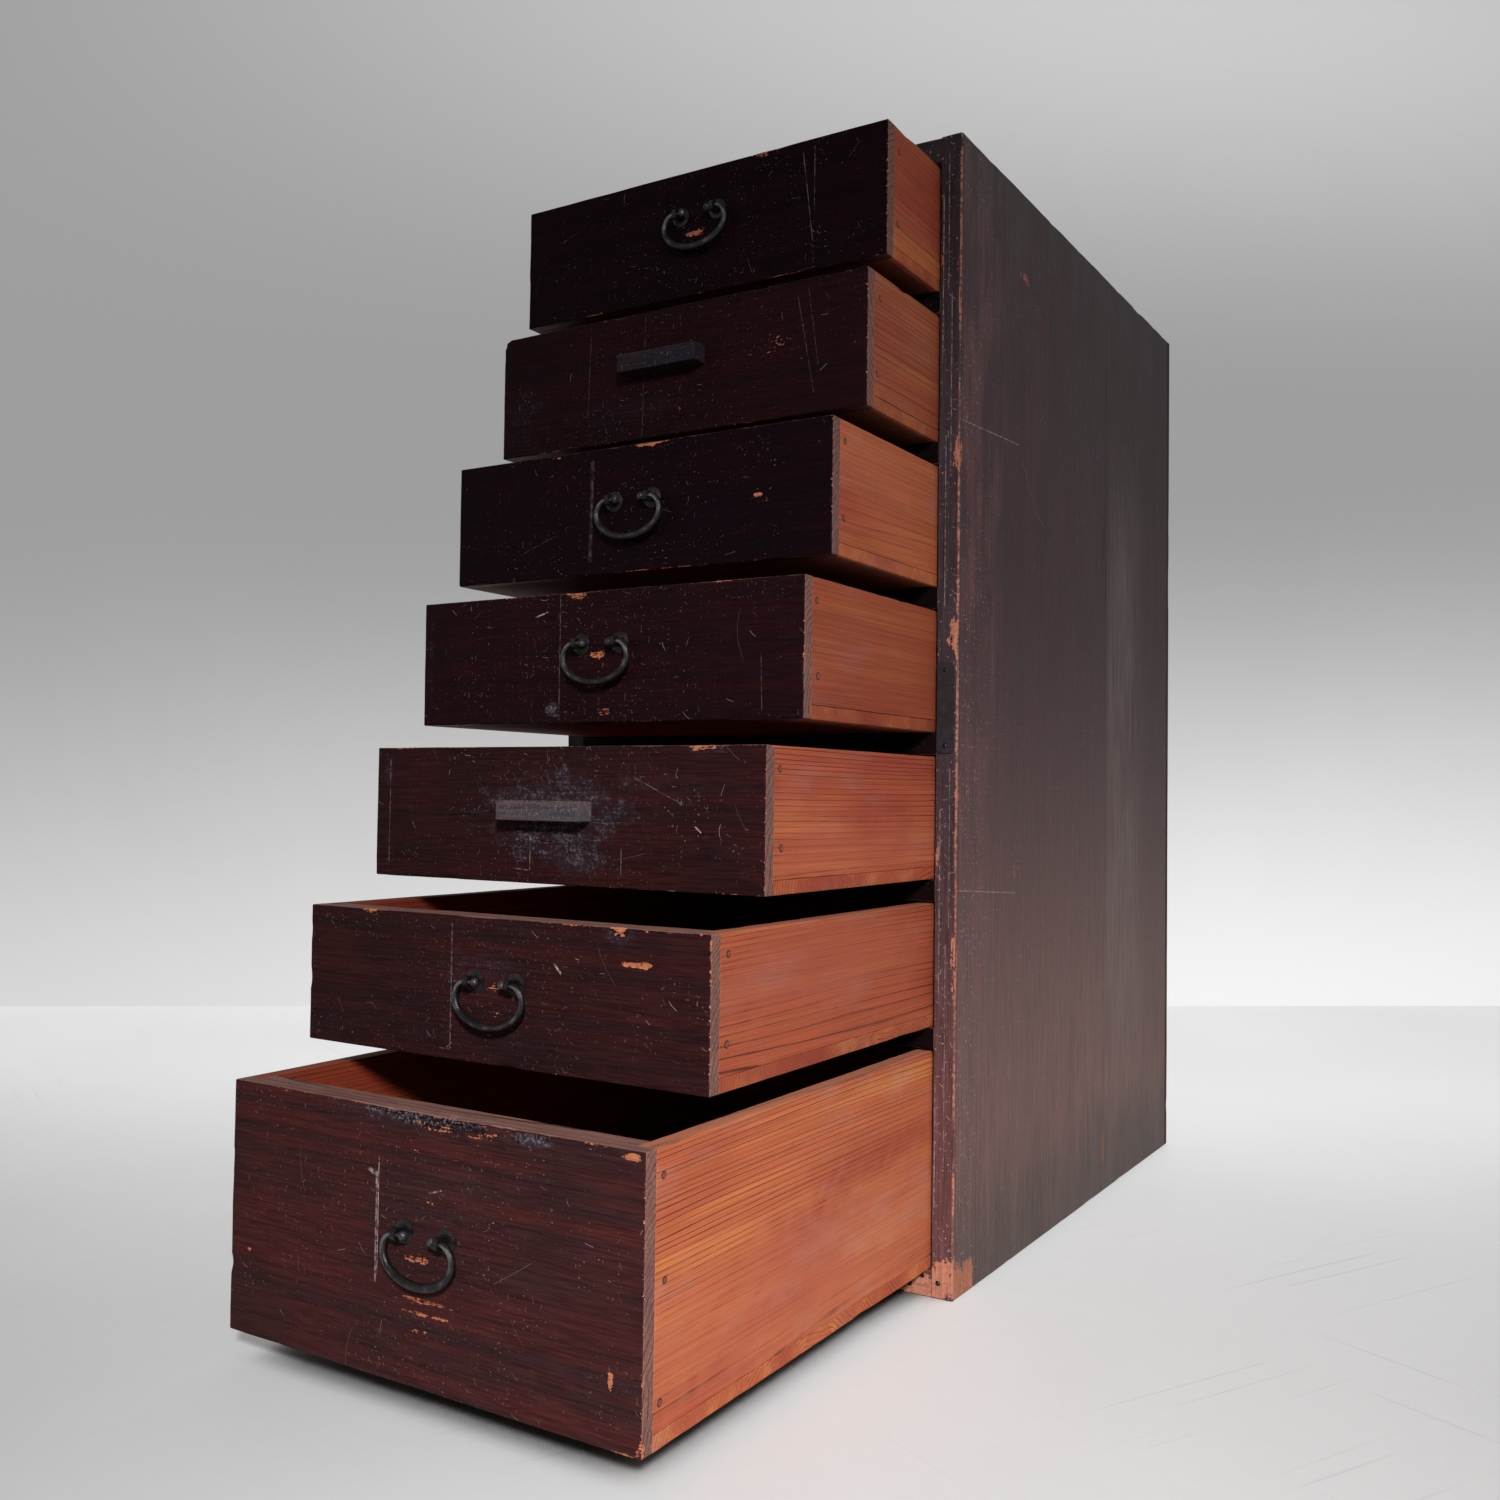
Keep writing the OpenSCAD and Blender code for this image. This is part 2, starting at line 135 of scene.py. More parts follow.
class CabinetEdges(bpy.types.PropertyGroup):
    """Wear of the boards' edges"""
    case_round: length("Case edges", "Rounding of the case's edges", 0.0013)
    front_round: length("Front edges", "Rounding of a drawer front's edges", 0.0010)
    box_round: length("Drawer edges", "Rounding of the other drawer boards", 0.0011)
    chip: length("Chips", "Extra rounding where an edge has chipped", 0.0022)
    unplaned: length("Unevenness", "Depth of the unevenness of a planed face", 0.00018)
    reach: length("Wear width", "How far the wear reaches from an edge", 0.0024)


class CabinetIron(bpy.types.PropertyGroup):
    """Forged fittings, pegs and nails"""
    dark: colour("Iron", "Blackened iron", tint(24, 23, 26))
    # shine also paints highlights on the bails, on their faces turned to the front
    shine: colour("Worn iron", "Iron rubbed bright by hands", tint(150, 148, 150))
    plate: colour("Plate", "Cooler grey of the plate", tint(52, 51, 57))
    rust: colour("Rust", "Brown rust in the hollows", tint(74, 50, 38))
    eye_gap: length("Eye distance", "Distance between the two eyes of a bail", 0.031, 0.1)
    eye_out: length("Eye stand-off", "Distance from the front to the middle of an eye", 0.0062)
    strip: length("Strip width", "Width of the strip of an eye pin", 0.0034)
    play: length("Eye play", "Play beside an eye", 0.0004)
    bail_width: length("Bail width", "Width over the bail", 0.055, 0.1)
    bail_drop: length("Bail drop", "From the eyes to the bail's lowest edge", 0.028, 0.1)
    shoulder: length("Shoulder", "Height over which the shoulders turn down", 0.009)
    grip: length("Grip", "Thickness at the grip", 0.0054)
    end: length("Ends", "Thickness beside the eyes", 0.004)
    pivot: length("Pivot", "Thickness inside the eyes", 0.0036)
    knob: length("Knob", "Diameter of the knob on each end", 0.0056)
    peg: length("Peg", "Diameter of a wooden peg", 0.0048)
    peg_rise: length("Peg rise", "How far a peg stands proud", 0.0004)
    nail: length("Nail head", "Diameter of a nail's head", 0.0038)
    nail_rise: length("Nail rise", "Height of a nail's head", 0.0009)
    seed: IntProperty(name="Seed", description="Seed of the pegs and nails", default=7, min=0)


class CabinetStage(bpy.types.PropertyGroup):
    """Camera, light, floor and wall"""
    lens: FloatProperty(
        name="Lens", description="Focal length in millimetres", default=33.66, min=10.0, max=200.0)
    floor: colour("Floor", "Pale floor", tint(236, 236, 236))
    wall_high: colour("Upper wall", "Upper part of the wall", tint(158, 158, 158))
    wall_low: colour("Lower wall", "Lower part of the wall", tint(246, 246, 246))
    key: light("Key", "Strength of the key light", 6.0)
    fill: light("Fill", "Strength of the light from behind", 0.25)
    sky: light("Sky", "Strength of the light from all round", 0.3)


# Shader maths

class Socket:
    """A shader output that can be used in sums"""

    def __init__(self, paint, output):
        self.paint, self.output = paint, output

    def math(self, operation, *others, first=None):
        left = self if first is None else first
        return self.paint.node(
            "ShaderNodeMath", {"operation": operation}, dict(enumerate([left, *others])))

    def __add__(self, other):
        return self.math("ADD", other)

    __radd__ = __add__

    def __sub__(self, other):
        return self.math("SUBTRACT", other)

    def __rsub__(self, other):
        return self.math("SUBTRACT", self, first=other)

    def __mul__(self, other):
        return self.math("MULTIPLY", other)

    __rmul__ = __mul__

    def __truediv__(self, other):
        return self.math("DIVIDE", other)

    def __abs__(self):
        return self.math("ABSOLUTE")

    def fract(self):
        return self.math("FRACT")

    def most(self, other):
        return self.math("MAXIMUM", other)


class Nodes:
    """Adds nodes to a tree"""

    def __init__(self, tree):
        self.tree = tree

    def node(self, kind, settings=None, values=None, out=0):
        """Makes a node, sets it up, gives its inputs values or links, and returns one output"""
        made = self.tree.nodes.new(kind)
        for key, value in (settings or {}).items():
            setattr(made, key, value)
        for key, value in (values or {}).items():
            if isinstance(value, Socket):
                self.tree.links.new(value.output, made.inputs[key])
            else:
                made.inputs[key].default_value = value
        return Socket(self, made.outputs[out]) if made.outputs else None

    def other(self, socket, name):
        """Another output of the node that a socket comes from"""
        return Socket(self, socket.output.node.outputs[name])


class Paint(Nodes):
    """Builds one material, or the world, node by node"""

    def __init__(self, name, owner=None):
        self.owner = owner or bpy.data.materials.new(name)
        self.owner.use_nodes = True
        super().__init__(self.owner.node_tree)
        self.tree.nodes.clear()

    def attribute(self, name, out=2):
        """A piece's own value, which is a number on output 2 and a vector on output 1"""
        return self.node("ShaderNodeAttribute", {"attribute_name": name}, out=out)

    def place(self):
        """Object coordinates in metres"""
        return self.node("ShaderNodeTexCoord", out="Object")

    def board_values(self):
        """Place along the grain, Object coordinates and the finish, wear and dust of a board"""
        return (self.attribute("grain", 1), self.place(),
                *(self.attribute(name) for name in ("finish", "worn", "dust")))

    def vector(self, operation, left, right=None, out=0):
        """Vector maths on one or two vectors"""
        values = {0: left} if right is None else {0: left, 1: right}
        return self.node("ShaderNodeVectorMath", {"operation": operation}, values, out)

    def axis(self, vector, name):
        """The X, Y or Z of a vector"""
        return self.node("ShaderNodeSeparateXYZ", None, {0: vector}, name)

    def noise(self, vector, scale, detail, rough=0.5):
        """Noise about 0.5; scale is the number of bumps in a metre, along each axis or all"""
        scales = (scale,) * 3 if isinstance(scale, (int, float)) else scale
        stretched = self.vector("MULTIPLY", vector, scales)
        return self.node("ShaderNodeTexNoise", None, {
            "Vector": stretched, "Scale": 1.0, "Detail": detail, "Roughness": rough})

    def ramp(self, value, low, high):
        """0 below low, 1 above high and smooth between them"""
        return self.node("ShaderNodeMapRange", {"interpolation_type": "SMOOTHSTEP"}, {
            "Value": value, "From Min": low, "From Max": high})

    def fall(self, value, low, high):
        """1 below low, 0 above high and smooth between them"""
        return 1.0 - self.ramp(value, low, high)

    def patches(self, low, high, *noise):
        """Patches of noise: 0 where it is below low and 1 where it is above high"""
        return self.ramp(self.noise(*noise), low, high)

    def mix(self, factor, first, second, blend="MIX"):
        """Mixes two colours"""
        whole = [c if isinstance(c, Socket) else (*c[:3], 1.0) for c in (first, second)]
        return self.node("ShaderNodeMix", {"data_type": "RGBA", "blend_type": blend}, {
            0: factor, 6: whole[0], 7: whole[1]}, 2)

    def grey(self, value):
        """A number as a grey, to multiply a colour by"""
        return self.node("ShaderNodeCombineColor", None, {0: value, 1: value, 2: value})

    def shade(self, colour_socket, value):
        """A colour made darker or lighter by a number"""
        return self.mix(1.0, colour_socket, self.grey(value), "MULTIPLY")

    def bump(self, height, depth):
        """Relief of a depth in metres"""
        return self.node("ShaderNodeBump", None, {
            "Height": height, "Strength": 1.0, "Distance": depth})

    def surface(self, shader, output="ShaderNodeOutputMaterial"):
        """Ends the tree in a shader and returns the material or world"""
        self.node(output, None, {"Surface": shader})
        return self.owner

    def principled(self, values):
        return self.surface(self.node("ShaderNodeBsdfPrincipled", None, values))


# Wood and iron

def grain_rings(paint, grain, pitch, wander=0.004):
    """The hard dark line that ends each year's ring: 0 in the soft wood, 1 in the line"""
    radius = paint.vector("LENGTH", paint.vector("MULTIPLY", grain, (0.0, 1.0, 1.0)), out="Value")
    slow = paint.noise(grain, (2.2, 17.0, 17.0), 1.0)
    quick = paint.noise(grain, (9.0, 190.0, 190.0), 2.0)
    width = paint.noise(grain, (0.2, 45.0, 45.0), 1.0)
    phase = (radius + (slow - 0.5) * (wander * 4) + (quick - 0.5) * (pitch * 0.5)) / pitch
    turn = (phase + width * 3.0).fract()
    strength = paint.patches(0.3, 0.6, grain, (1.5, 130.0, 130.0), 2.0) * 0.6 + 0.4
    return paint.ramp(turn, 0.76, 0.93) * paint.fall(turn, 0.95, 0.99) * strength


def cedar_colour(paint, wood, grain, late):
    """Soft orange wood with golden streaks, red clouds and dark lines"""
    fibres = paint.noise(grain, (11.0, 1300.0, 1300.0), 2.0)
    streaks = paint.patches(0.44, 0.7, grain, (2.0, 75.0, 75.0), 2.0)
    clouds = paint.patches(0.4, 0.68, grain, (5.0, 16.0, 16.0), 3.0)
    patchy = paint.patches(0.25, 0.7, grain, (2.4, 24.0, 24.0), 1.0)
    base = paint.mix(streaks * 0.7, wood.cedar, wood.cedar_gold)
    base = paint.mix(clouds * 0.85, base, wood.cedar_red)
    base = paint.mix(late * (patchy * 0.35 + 0.65), base, wood.cedar_line)
    return paint.shade(base, paint.ramp(fibres, 0.25, 0.75) * 0.4 + 0.8), fibres


def strokes(paint, flat, pitch, longest, thick, amount, shift=0.0):
    """Short crisp strokes, one in some of the cells of a board's face.

    Each has its own turn, length and bend. pitch, the width of a cell, longest and thick are in
    millimetres, and amount is the share of the cells that have a stroke.
    """
    cells = paint.vector("ADD", paint.vector("MULTIPLY", flat, (1.0 / (pitch * MM),) * 3), (shift,) * 3)
    middle = paint.node("ShaderNodeTexVoronoi", {"voronoi_dimensions": "2D"}, {
        "Vector": cells, "Scale": 1.0}, "Position")
    chance = paint.node("ShaderNodeSeparateColor", None, {0: paint.other(middle, "Color")}, 0)
    second, third = (paint.other(chance, name) for name in ("Green", "Blue"))
    local = paint.vector("MULTIPLY", paint.vector("SUBTRACT", cells, middle), (pitch, pitch, 0.0))
    turned = paint.node("ShaderNodeVectorRotate", {"rotation_type": "Z_AXIS"}, {
        "Vector": local, "Angle": second * 5.0})
    along, beside = (paint.axis(turned, name) for name in "XY")
    half = third * third * longest + longest * 0.12
    bent = beside + along * along * ((second - 0.5) * (0.5 / longest))
    line = paint.fall(abs(bent), thick * 0.35, thick * 0.6)
    return line * paint.fall(abs(along) / half, 0.75, 1.0) * paint.fall(
        chance, amount - 0.001, amount) * (chance * (-0.75 / amount) + 1.0)


def scratches(paint, grain, place, amount, more=0.0, size=1.0):
    """Fine pale scratches and specks, more of them in some places and where more says so.

    amount multiplies their number and size their thickness.
    """
    across = paint.axis(grain, "Y") + paint.axis(grain, "Z")
    flat = paint.node("ShaderNodeCombineXYZ", None, {"X": paint.axis(grain, "X"), "Y": across})
    here = paint.patches(0.46, 0.64, place, 24.0, 3.0, 0.6).most(more)
    specks = strokes(paint, flat, 3.0 * size, 0.55 * size, 0.5 * size, 0.34 * amount)
    ticks = strokes(paint, flat, 5.5, 2.2, 0.24 * size, 0.42 * amount, 3.7)
    rare = strokes(paint, flat, 16.0, 4.0, 0.34, 0.22 * amount, 9.1)
    long = strokes(paint, flat, 40.0, 17.0, 0.24, 0.45 * amount, 5.3)
    return (specks.most(ticks) * here).most(rare).most(long * 0.4)


def drawn_line(paint, place, line):
    """A long thin scratch: both ends and its width, in millimetres, and its strength"""
    start, end = (Vector(point) * MM for point in line[:2])
    width, strength = line[2] * MM, line[3]
    run = (end - start).length
    along = (end - start) / run
    offset = paint.vector("SUBTRACT", place, tuple(start))
    away = paint.vector("LENGTH", paint.vector("CROSS_PRODUCT", offset, tuple(along)), out="Value")
    travel = paint.vector("DOT_PRODUCT", offset, tuple(along), "Value")
    broken = paint.patches(0.42, 0.56, place, 330.0, 2.0)
    inside = paint.ramp(travel, 0.0, MM) * paint.fall(travel, run - MM, run)
    return paint.fall(away, width * 0.35, width * 0.75) * inside * (broken * 0.8 + 0.2) * strength


def broken_up(paint, level, fine, splinters, threshold):
    """Bare places: the level of wear broken up by fine noise along the grain"""
    return paint.ramp(level + (fine - 0.5) * 1.5 + (splinters - 0.5) * 1.7, threshold, threshold + 0.1)


def bare_wood(paint, wood, late, fibres, fine):
    """Wood laid bare, with its grain and some dirt"""
    base = paint.mix(late * 0.6 + paint.fall(fine, 0.3, 0.5) * 0.35, wood.bare, wood.cedar_line)
    return paint.shade(base, fibres * 0.9 + fine * 0.5 + 0.3)


def hazed(paint, wood, coat, dust, veil, splinters, strength):
    """A coat dulled by a grey haze where the dust attribute says so, and how hazy it is"""
    hazy = paint.ramp(dust * (veil + splinters + 0.1), 0.1, 1.1)
    return paint.mix(hazy * strength, coat, wood.bloom), hazy


def with_lines(paint, place, marks, lines):
    """Scratches with long ones added to them"""
    for line in lines:
        marks = marks.most(drawn_line(paint, place, line))
    return marks


def lacquered(name, wood, coat, pitch, lines=(), gloss=0.42, knocks=1.0):
    """Dark lacquer over cedar, worn through at the edges and where things knocked it"""
    paint = Paint(name)
    grain, place, finish, worn, dust = paint.board_values()
    late = grain_rings(paint, grain, pitch)
    cedar, fibres = cedar_colour(paint, wood, grain, late)
    clouds = paint.noise(place, 15.0, 3.0, 0.6)
    fine = paint.noise(place, 520.0, 3.0, 0.65)
    splinters = paint.noise(grain, (55.0, 620.0, 620.0), 2.0, 0.6)
    bands = paint.noise(grain, (1.8, 110.0, 110.0), 3.0)
    veil = paint.noise(grain, (7.0, 420.0, 420.0), 3.0, 0.6)
    weave = paint.patches(0.3, 0.7, grain, (42.0, 820.0, 820.0), 3.0, 0.7)
    redder = tuple(min(1.0, c * gain) for c, gain in zip(coat, (1.45, 1.05, 1.02)))
    blacker = tuple(c * gain for c, gain in zip(coat, (0.8, 0.94, 1.02)))
    coat_colour = paint.mix(paint.ramp(clouds * 0.5 + bands * 0.7, 0.44, 0.78), blacker, redder)
    coat_colour = paint.mix(late * 0.25, coat_colour, wood.lacquer_line)
    coat_colour = paint.shade(coat_colour, weave * 0.6 + veil * 0.3 + 0.5)
    coat_colour, hazy = hazed(paint, wood, coat_colour, dust, veil, splinters, 0.75)
    flaked = paint.ramp(hazy * worn, 0.06, 0.3)
    coat_colour = paint.mix(flaked * 0.8, coat_colour, wood.lacquer_line)
    crust = paint.ramp(fine * 0.8 + splinters * 0.3 + dust * 0.12, 0.58, 0.92) * hazy
    coat_colour = paint.mix(crust * (flaked * 0.4 + 0.6), coat_colour, wood.frost)
    handled = paint.fall(abs(paint.axis(place, "X")), 0.03, 0.12) * 0.6
    marks = scratches(paint, grain, place, knocks, handled) * (dust * 0.4 + 0.5)
    marks = with_lines(paint, place, marks, lines)
    coat_colour = paint.mix(marks, coat_colour, wood.scratch)
    thin = paint.ramp(finish + (splinters - 0.5) * 0.5, 0.1, 0.95)
    end_grain = paint.mix(0.3, paint.shade(cedar, 0.5), wood.scratch)
    end_grain = paint.mix(late * 0.85, paint.shade(end_grain, fibres * 0.8 + 0.5), wood.lacquer_line)
    colour_out = paint.mix(thin, end_grain, coat_colour)
    chips = broken_up(paint, worn, fine, splinters, 0.78)
    colour_out = paint.mix(chips * 0.9, colour_out, bare_wood(paint, wood, late, fibres, fine))
    height = fibres * 0.35 - late * 0.3 + fine * 0.3 + veil * 0.3 - chips * 0.9 - marks * 0.4
    return paint.principled({
        "Base Color": colour_out, "Specular IOR Level": 0.035,
        "Roughness": gloss + chips * 0.35 + hazy * 0.25 + weave * 0.12,
        "Normal": paint.bump(height, wood.relief)})


def stained(name, wood, foot, top, lines):
    """Thin dark stain over upright cedar, with a painted grey-green sheen up to the height foot and near
    the top.

    behind and height_up are a place's depth behind the front edges and its height, in metres, and
    panel is 0 on the front edges and 1 on the panels' faces.
    """
    paint = Paint(name)
    grain, place, finish, worn, dust = paint.board_values()
    late = grain_rings(paint, grain, wood.ring * 1.3, 0.006)
    cedar, fibres = cedar_colour(paint, wood, grain, late)
    streaks = paint.patches(0.38, 0.64, grain, (3.0, 85.0, 85.0), 3.0, 0.6)
    veil = paint.noise(grain, (9.0, 380.0, 380.0), 3.0, 0.65)
    weave = paint.patches(0.3, 0.7, grain, (34.0, 800.0, 800.0), 3.0, 0.7)
    clouds = paint.noise(place, (24.0, 24.0, 9.0), 4.0, 0.6)
    fine = paint.noise(place, 520.0, 3.0, 0.65)
    splinters = paint.noise(grain, (45.0, 560.0, 560.0), 2.0, 0.6)
    height_up = paint.axis(place, "Z")
    uneven = (clouds - 0.5) * 0.2 + (veil - 0.5) * 0.1
    behind = paint.axis(place, "Y") - CASE_FRONT
    panel = paint.ramp(behind, 0.5 * MM, 5 * MM)
    front_half = paint.fall(behind, 0.05, 0.3)
    # Painted sheen: grey-green near the foot and near the top, more towards the front
    sheen_mask = paint.fall(height_up + uneven * 0.4, foot * 0.1, foot * 1.3).most(
        paint.ramp(height_up + uneven, top - 0.07, top + 0.03) * (front_half * 0.9 + 0.1))
    sheen_mask = sheen_mask * (panel * 0.8 + 0.2)
    # Lighter lower half: partly stain, partly painted light, as if more light fell low down
    low = paint.fall(height_up + uneven * 1.4, 0.1, 0.5) * panel
    band = paint.ramp(behind, SEAM, SEAM + 0.012) * paint.fall(behind, SEAM + 0.06, SEAM + 0.13)
    band = band * paint.ramp(veil + clouds * 0.6, 0.55, 0.95) * paint.ramp(height_up, 0.04, 0.2) * (
        paint.fall(height_up, 0.5, 0.7))
    coat = paint.mix(streaks * (front_half * 0.5 + 0.4), wood.stain, wood.stain_red)
    coat = paint.mix(low * 0.9, coat, wood.stain_low_and_light)
    middle = paint.ramp(height_up, 0.16, 0.34) * paint.fall(height_up, 0.52, 0.68) * panel
    near = paint.fall(behind, 0.02, 0.11) * paint.ramp(clouds + (streaks - 0.5) * 0.1, 0.42, 0.6)
    upper = paint.ramp(height_up, top - 4 * MM, top - MM)
    coat = paint.mix(middle * 0.25, coat, wood.stain_red)
    coat = paint.mix(near * panel * 0.4, coat, wood.stain_foot)
    coat = paint.mix(band * 0.5, coat, wood.stain_pale)
    coat = paint.mix(sheen_mask * 0.6, coat, wood.green_sheen)
    # Front edges: purple stain, lighter and redder towards the floor and darker towards the top, with a
    # painted shadow of the drawers on the left front edge
    edge_stain_and_shadow = paint.mix(paint.fall(height_up + uneven, 0.1, 0.4), wood.stain_stile, wood.stain_foot)
    unshadowed_right = paint.ramp(paint.axis(place, "X"), -0.15, 0.0)
    edge_stain_and_shadow = paint.shade(edge_stain_and_shadow, (1.0 - paint.ramp(height_up, 0.6, 0.8) * 0.55) * (
        unshadowed_right * 0.6 + 0.4))
    coat = paint.mix((1.0 - panel) * 0.85, coat, edge_stain_and_shadow)
    coat = paint.mix(late * 0.3, coat, wood.lacquer_line)
    lighter = paint.ramp(behind, 0.04, 0.36) * 0.16 - paint.ramp(behind, 0.41, 0.47) * 0.14 + 0.3
    coat = paint.shade(
        coat, (weave * 0.6 + veil * 0.8 + clouds * 0.8 - 0.08) * (panel * lighter + 0.7))
    coat, hazy = hazed(paint, wood, coat, dust, veil, splinters, 0.6)
    near = near.most(upper * paint.ramp(clouds, 0.4, 0.6) * 0.8)
    knocked = near.most(paint.fall(behind, 0.015, 0.08) * paint.fall(height_up, 0.5, 0.62))
    marks = scratches(paint, grain, place, 1.3, knocked, 1.5) * (
        0.75 - panel * 0.35 + knocked * panel * 0.5)
    marks = with_lines(paint, place, marks, lines)
    coat = paint.mix(marks, coat, wood.scratch)
    ragged = paint.patches(0.3, 0.5, place, (60.0, 60.0, 14.0), 2.0)
    thin = paint.ramp(finish + (fine - 0.5) * 0.2, 0.1, 0.95)
    colour_out = paint.mix(thin, paint.shade(cedar, 0.4), coat)
    chips = broken_up(paint, worn, fine, splinters, 0.74).most(drawn_line(paint, place, ARRIS) * ragged)
    dry = paint.mix(0.12, bare_wood(paint, wood, late, fibres, fine), wood.scratch)
    dry = paint.shade(dry, paint.ramp(clouds + veil * 0.5, 0.5, 0.9) * 0.5 + 0.55)
    colour_out = paint.mix(chips * 0.9, colour_out, dry)
    height = fibres * 0.4 - late * 0.4 + fine * 0.3 + veil * 0.3 + weave * 0.25 - chips * 0.8
    return paint.principled({
        "Base Color": colour_out, "Specular IOR Level": 0.15,
        "Roughness": chips * 0.3 + hazy * 0.3 + weave * 0.14 + 0.44,
        "Normal": paint.bump(height, wood.relief)})


def cedar_wood(name, wood, tone, lines=1.0, half=None, shade=1.0):
    """Bare cedar, dusty where the dust attribute says so.

    tone multiplies its colour and lines is the strength of the grain lines. Where half the width of
    a board is given, shade multiplies all but its left and right edges: painted shade inside a
    drawer's bottom, and on the back boards a lighter middle within dark stained edges.
    """
    paint = Paint(name)
    grain, place, finish, worn, dust = paint.board_values()
    late = grain_rings(paint, grain, wood.ring * 0.85, 0.003) * (lines - finish * (lines * 0.7))
    cedar, fibres = cedar_colour(paint, wood, grain, late)
    fine = paint.noise(place, 300.0, 3.0, 0.65)
    smudge = paint.patches(0.5, 0.72, grain, (14.0, 34.0, 34.0), 4.0, 0.65)
    body = paint.mix(paint.ramp(dust + (fine - 0.5) * 0.5, 0.1, 1.0) * 0.5, cedar, wood.dust)
    body = paint.mix(finish * 0.35, body, wood.cedar_pink)
    body = paint.mix(smudge * 0.1, body, wood.scratch)
    dents = scratches(paint, grain, place, 0.35) * 0.4
    body = paint.mix(dents, body, wood.cedar_line)
    grime = paint.ramp(worn + (fine - 0.5) * 0.8, 0.5, 0.9) * 0.4
    body = paint.mix(grime, body, wood.cedar_line)
    # Between the edges: painted shade on drawer bottoms, a lighter middle on the back boards
    if half:
        rim = paint.ramp(abs(paint.axis(place, "X")), half - 5 * MM, half - 2 * MM)
        body = paint.shade(body, rim * (1.0 - shade) + shade)
    return paint.principled({
        "Base Color": paint.mix(1.0, body, tone, "MULTIPLY"),
        "Specular IOR Level": 0.25, "Roughness": 0.7 - late * 0.16 + fine * 0.1,
        "Normal": paint.bump(fibres * 0.4 + late * 0.5 + fine * 0.2 - dents, wood.relief)})


def forged(name, iron, dark, bright=1.0, bare=0.0):
    """Blackened iron with hammer marks, rust in the hollows and rubbed parts, which on the bails are
    painted highlights.

    bright is the strength of the rubbed and highlit parts, and bare is added to the wear.
    """
    paint = Paint(name)
    place = paint.place()
    worn = paint.attribute("worn") + bare
    broad = paint.noise(place, 160.0, 2.0)
    fine = paint.noise(place, 1100.0, 3.0, 0.6)
    base = paint.mix(paint.ramp(fine + broad * 0.5, 0.66, 0.98) * 0.35, dark, iron.rust)
    base = paint.shade(base, fine * 1.0 + broad * 0.8 + 0.1)
    # Rubbed parts: worn patches on the fittings, and painted highlights on the bails
    rubbed_and_highlit = paint.ramp(worn + (broad - 0.5) * 0.7, 0.4, 0.95) * bright
    base = paint.mix(rubbed_and_highlit * 0.8, base, iron.shine)
    return paint.principled({
        "Base Color": base,
        "Metallic": rubbed_and_highlit * 0.5 + 0.4, "Specular IOR Level": 0.4,
        "Roughness": 0.2 - rubbed_and_highlit * 0.04 + fine * 0.22,
        "Normal": paint.bump(broad * 0.7 + fine * 0.5, 0.0004)})


def old_peg(name, wood):
    """End grain of a wooden peg, darker than the board round it"""
    paint = Paint(name)
    place = paint.place()
    fine = paint.noise(place, 1500.0, 3.0)
    centre = paint.ramp(paint.attribute("centre"), 0.6, 0.8)
    base = paint.mix(paint.noise(place, 300.0, 2.0) * 0.5, wood.cedar_red, wood.cedar_gold)
    base = paint.mix(centre, wood.lacquer_line, paint.shade(base, 0.6))
    return paint.principled({
        "Base Color": paint.shade(base, fine * 0.5 + 0.6), "Roughness": 0.8,
        "Normal": paint.bump(fine, 0.0003)})


# Worn boards

def bumps(points, size, seed):
    """Smooth noise from -1 to 1 at each point, with bumps of about size metres"""
    place = points / size + seed * 17.13 + 1000.0
    cell = np.floor(place).astype(np.int64)
    part = place - cell
    part = part * part * (3 - 2 * part)
    total = np.zeros(len(points))
    for corner in np.ndindex(2, 2, 2):
        c = cell + np.array(corner)
        key = c[:, 0] * 374761393 + c[:, 1] * 668265263 + c[:, 2] * 2147483647
        key = ((key ^ (key >> 13)) * 1274126177) & 0x7FFFFFFF
        weight = np.prod(np.where(corner, part, 1 - part), axis=1)
        total += weight * ((key ^ (key >> 16)) % 20011 / 10005.0 - 1.0)
    return total


# Where the lattice has planes near a rounded edge, and how close two planes may lie
NEAR_EDGE = np.array([0.0, 0.35, 0.8, 1.5, 2.6]) * MM
CLOSEST = 0.14 * MM
# How near a side a point counts as on it, how far from an edge a mark can lay it bare, and the
# smallest rounding
ON_SIDE, BARE_EDGE, LEAST_ROUND = 0.2 * MM, 4 * MM, 0.15 * MM
# How sharp an edge has to be to be shaded as one, in degrees, on wood and on forged iron
CREASE, FORGED_CREASE = 38.0, 50.0
SIDES = [axis + end for axis in "xyz" for end in "01"]


def side_of(token):
    """A side such as x0 or z1 as the number of its axis and of its end"""
    return "xyz".index(token[0]), int(token[1])


def axis_places(low, high, step, soft, fixed, extra):
    """Places of the lattice's planes along one axis, close together near rounded edges"""
    firm = {low, high, *(f for f in fixed if low < f < high)}
    wanted = set(extra)
    wanted.update(low + NEAR_EDGE if soft[0] else ())
    wanted.update(high - NEAR_EDGE if soft[1] else ())
    places = sorted(firm)
    for place in sorted(wanted):
        if low < place < high and min(abs(place - p) for p in places) > CLOSEST:
            places.append(place)
    places.sort()
    filled = [places[0]]
    for before, after in zip(places, places[1:]):
        count = max(1, math.ceil((after - before) / step - 0.2))
        filled.extend(np.linspace(before, after, count + 1)[1:])
    return np.array(filled)


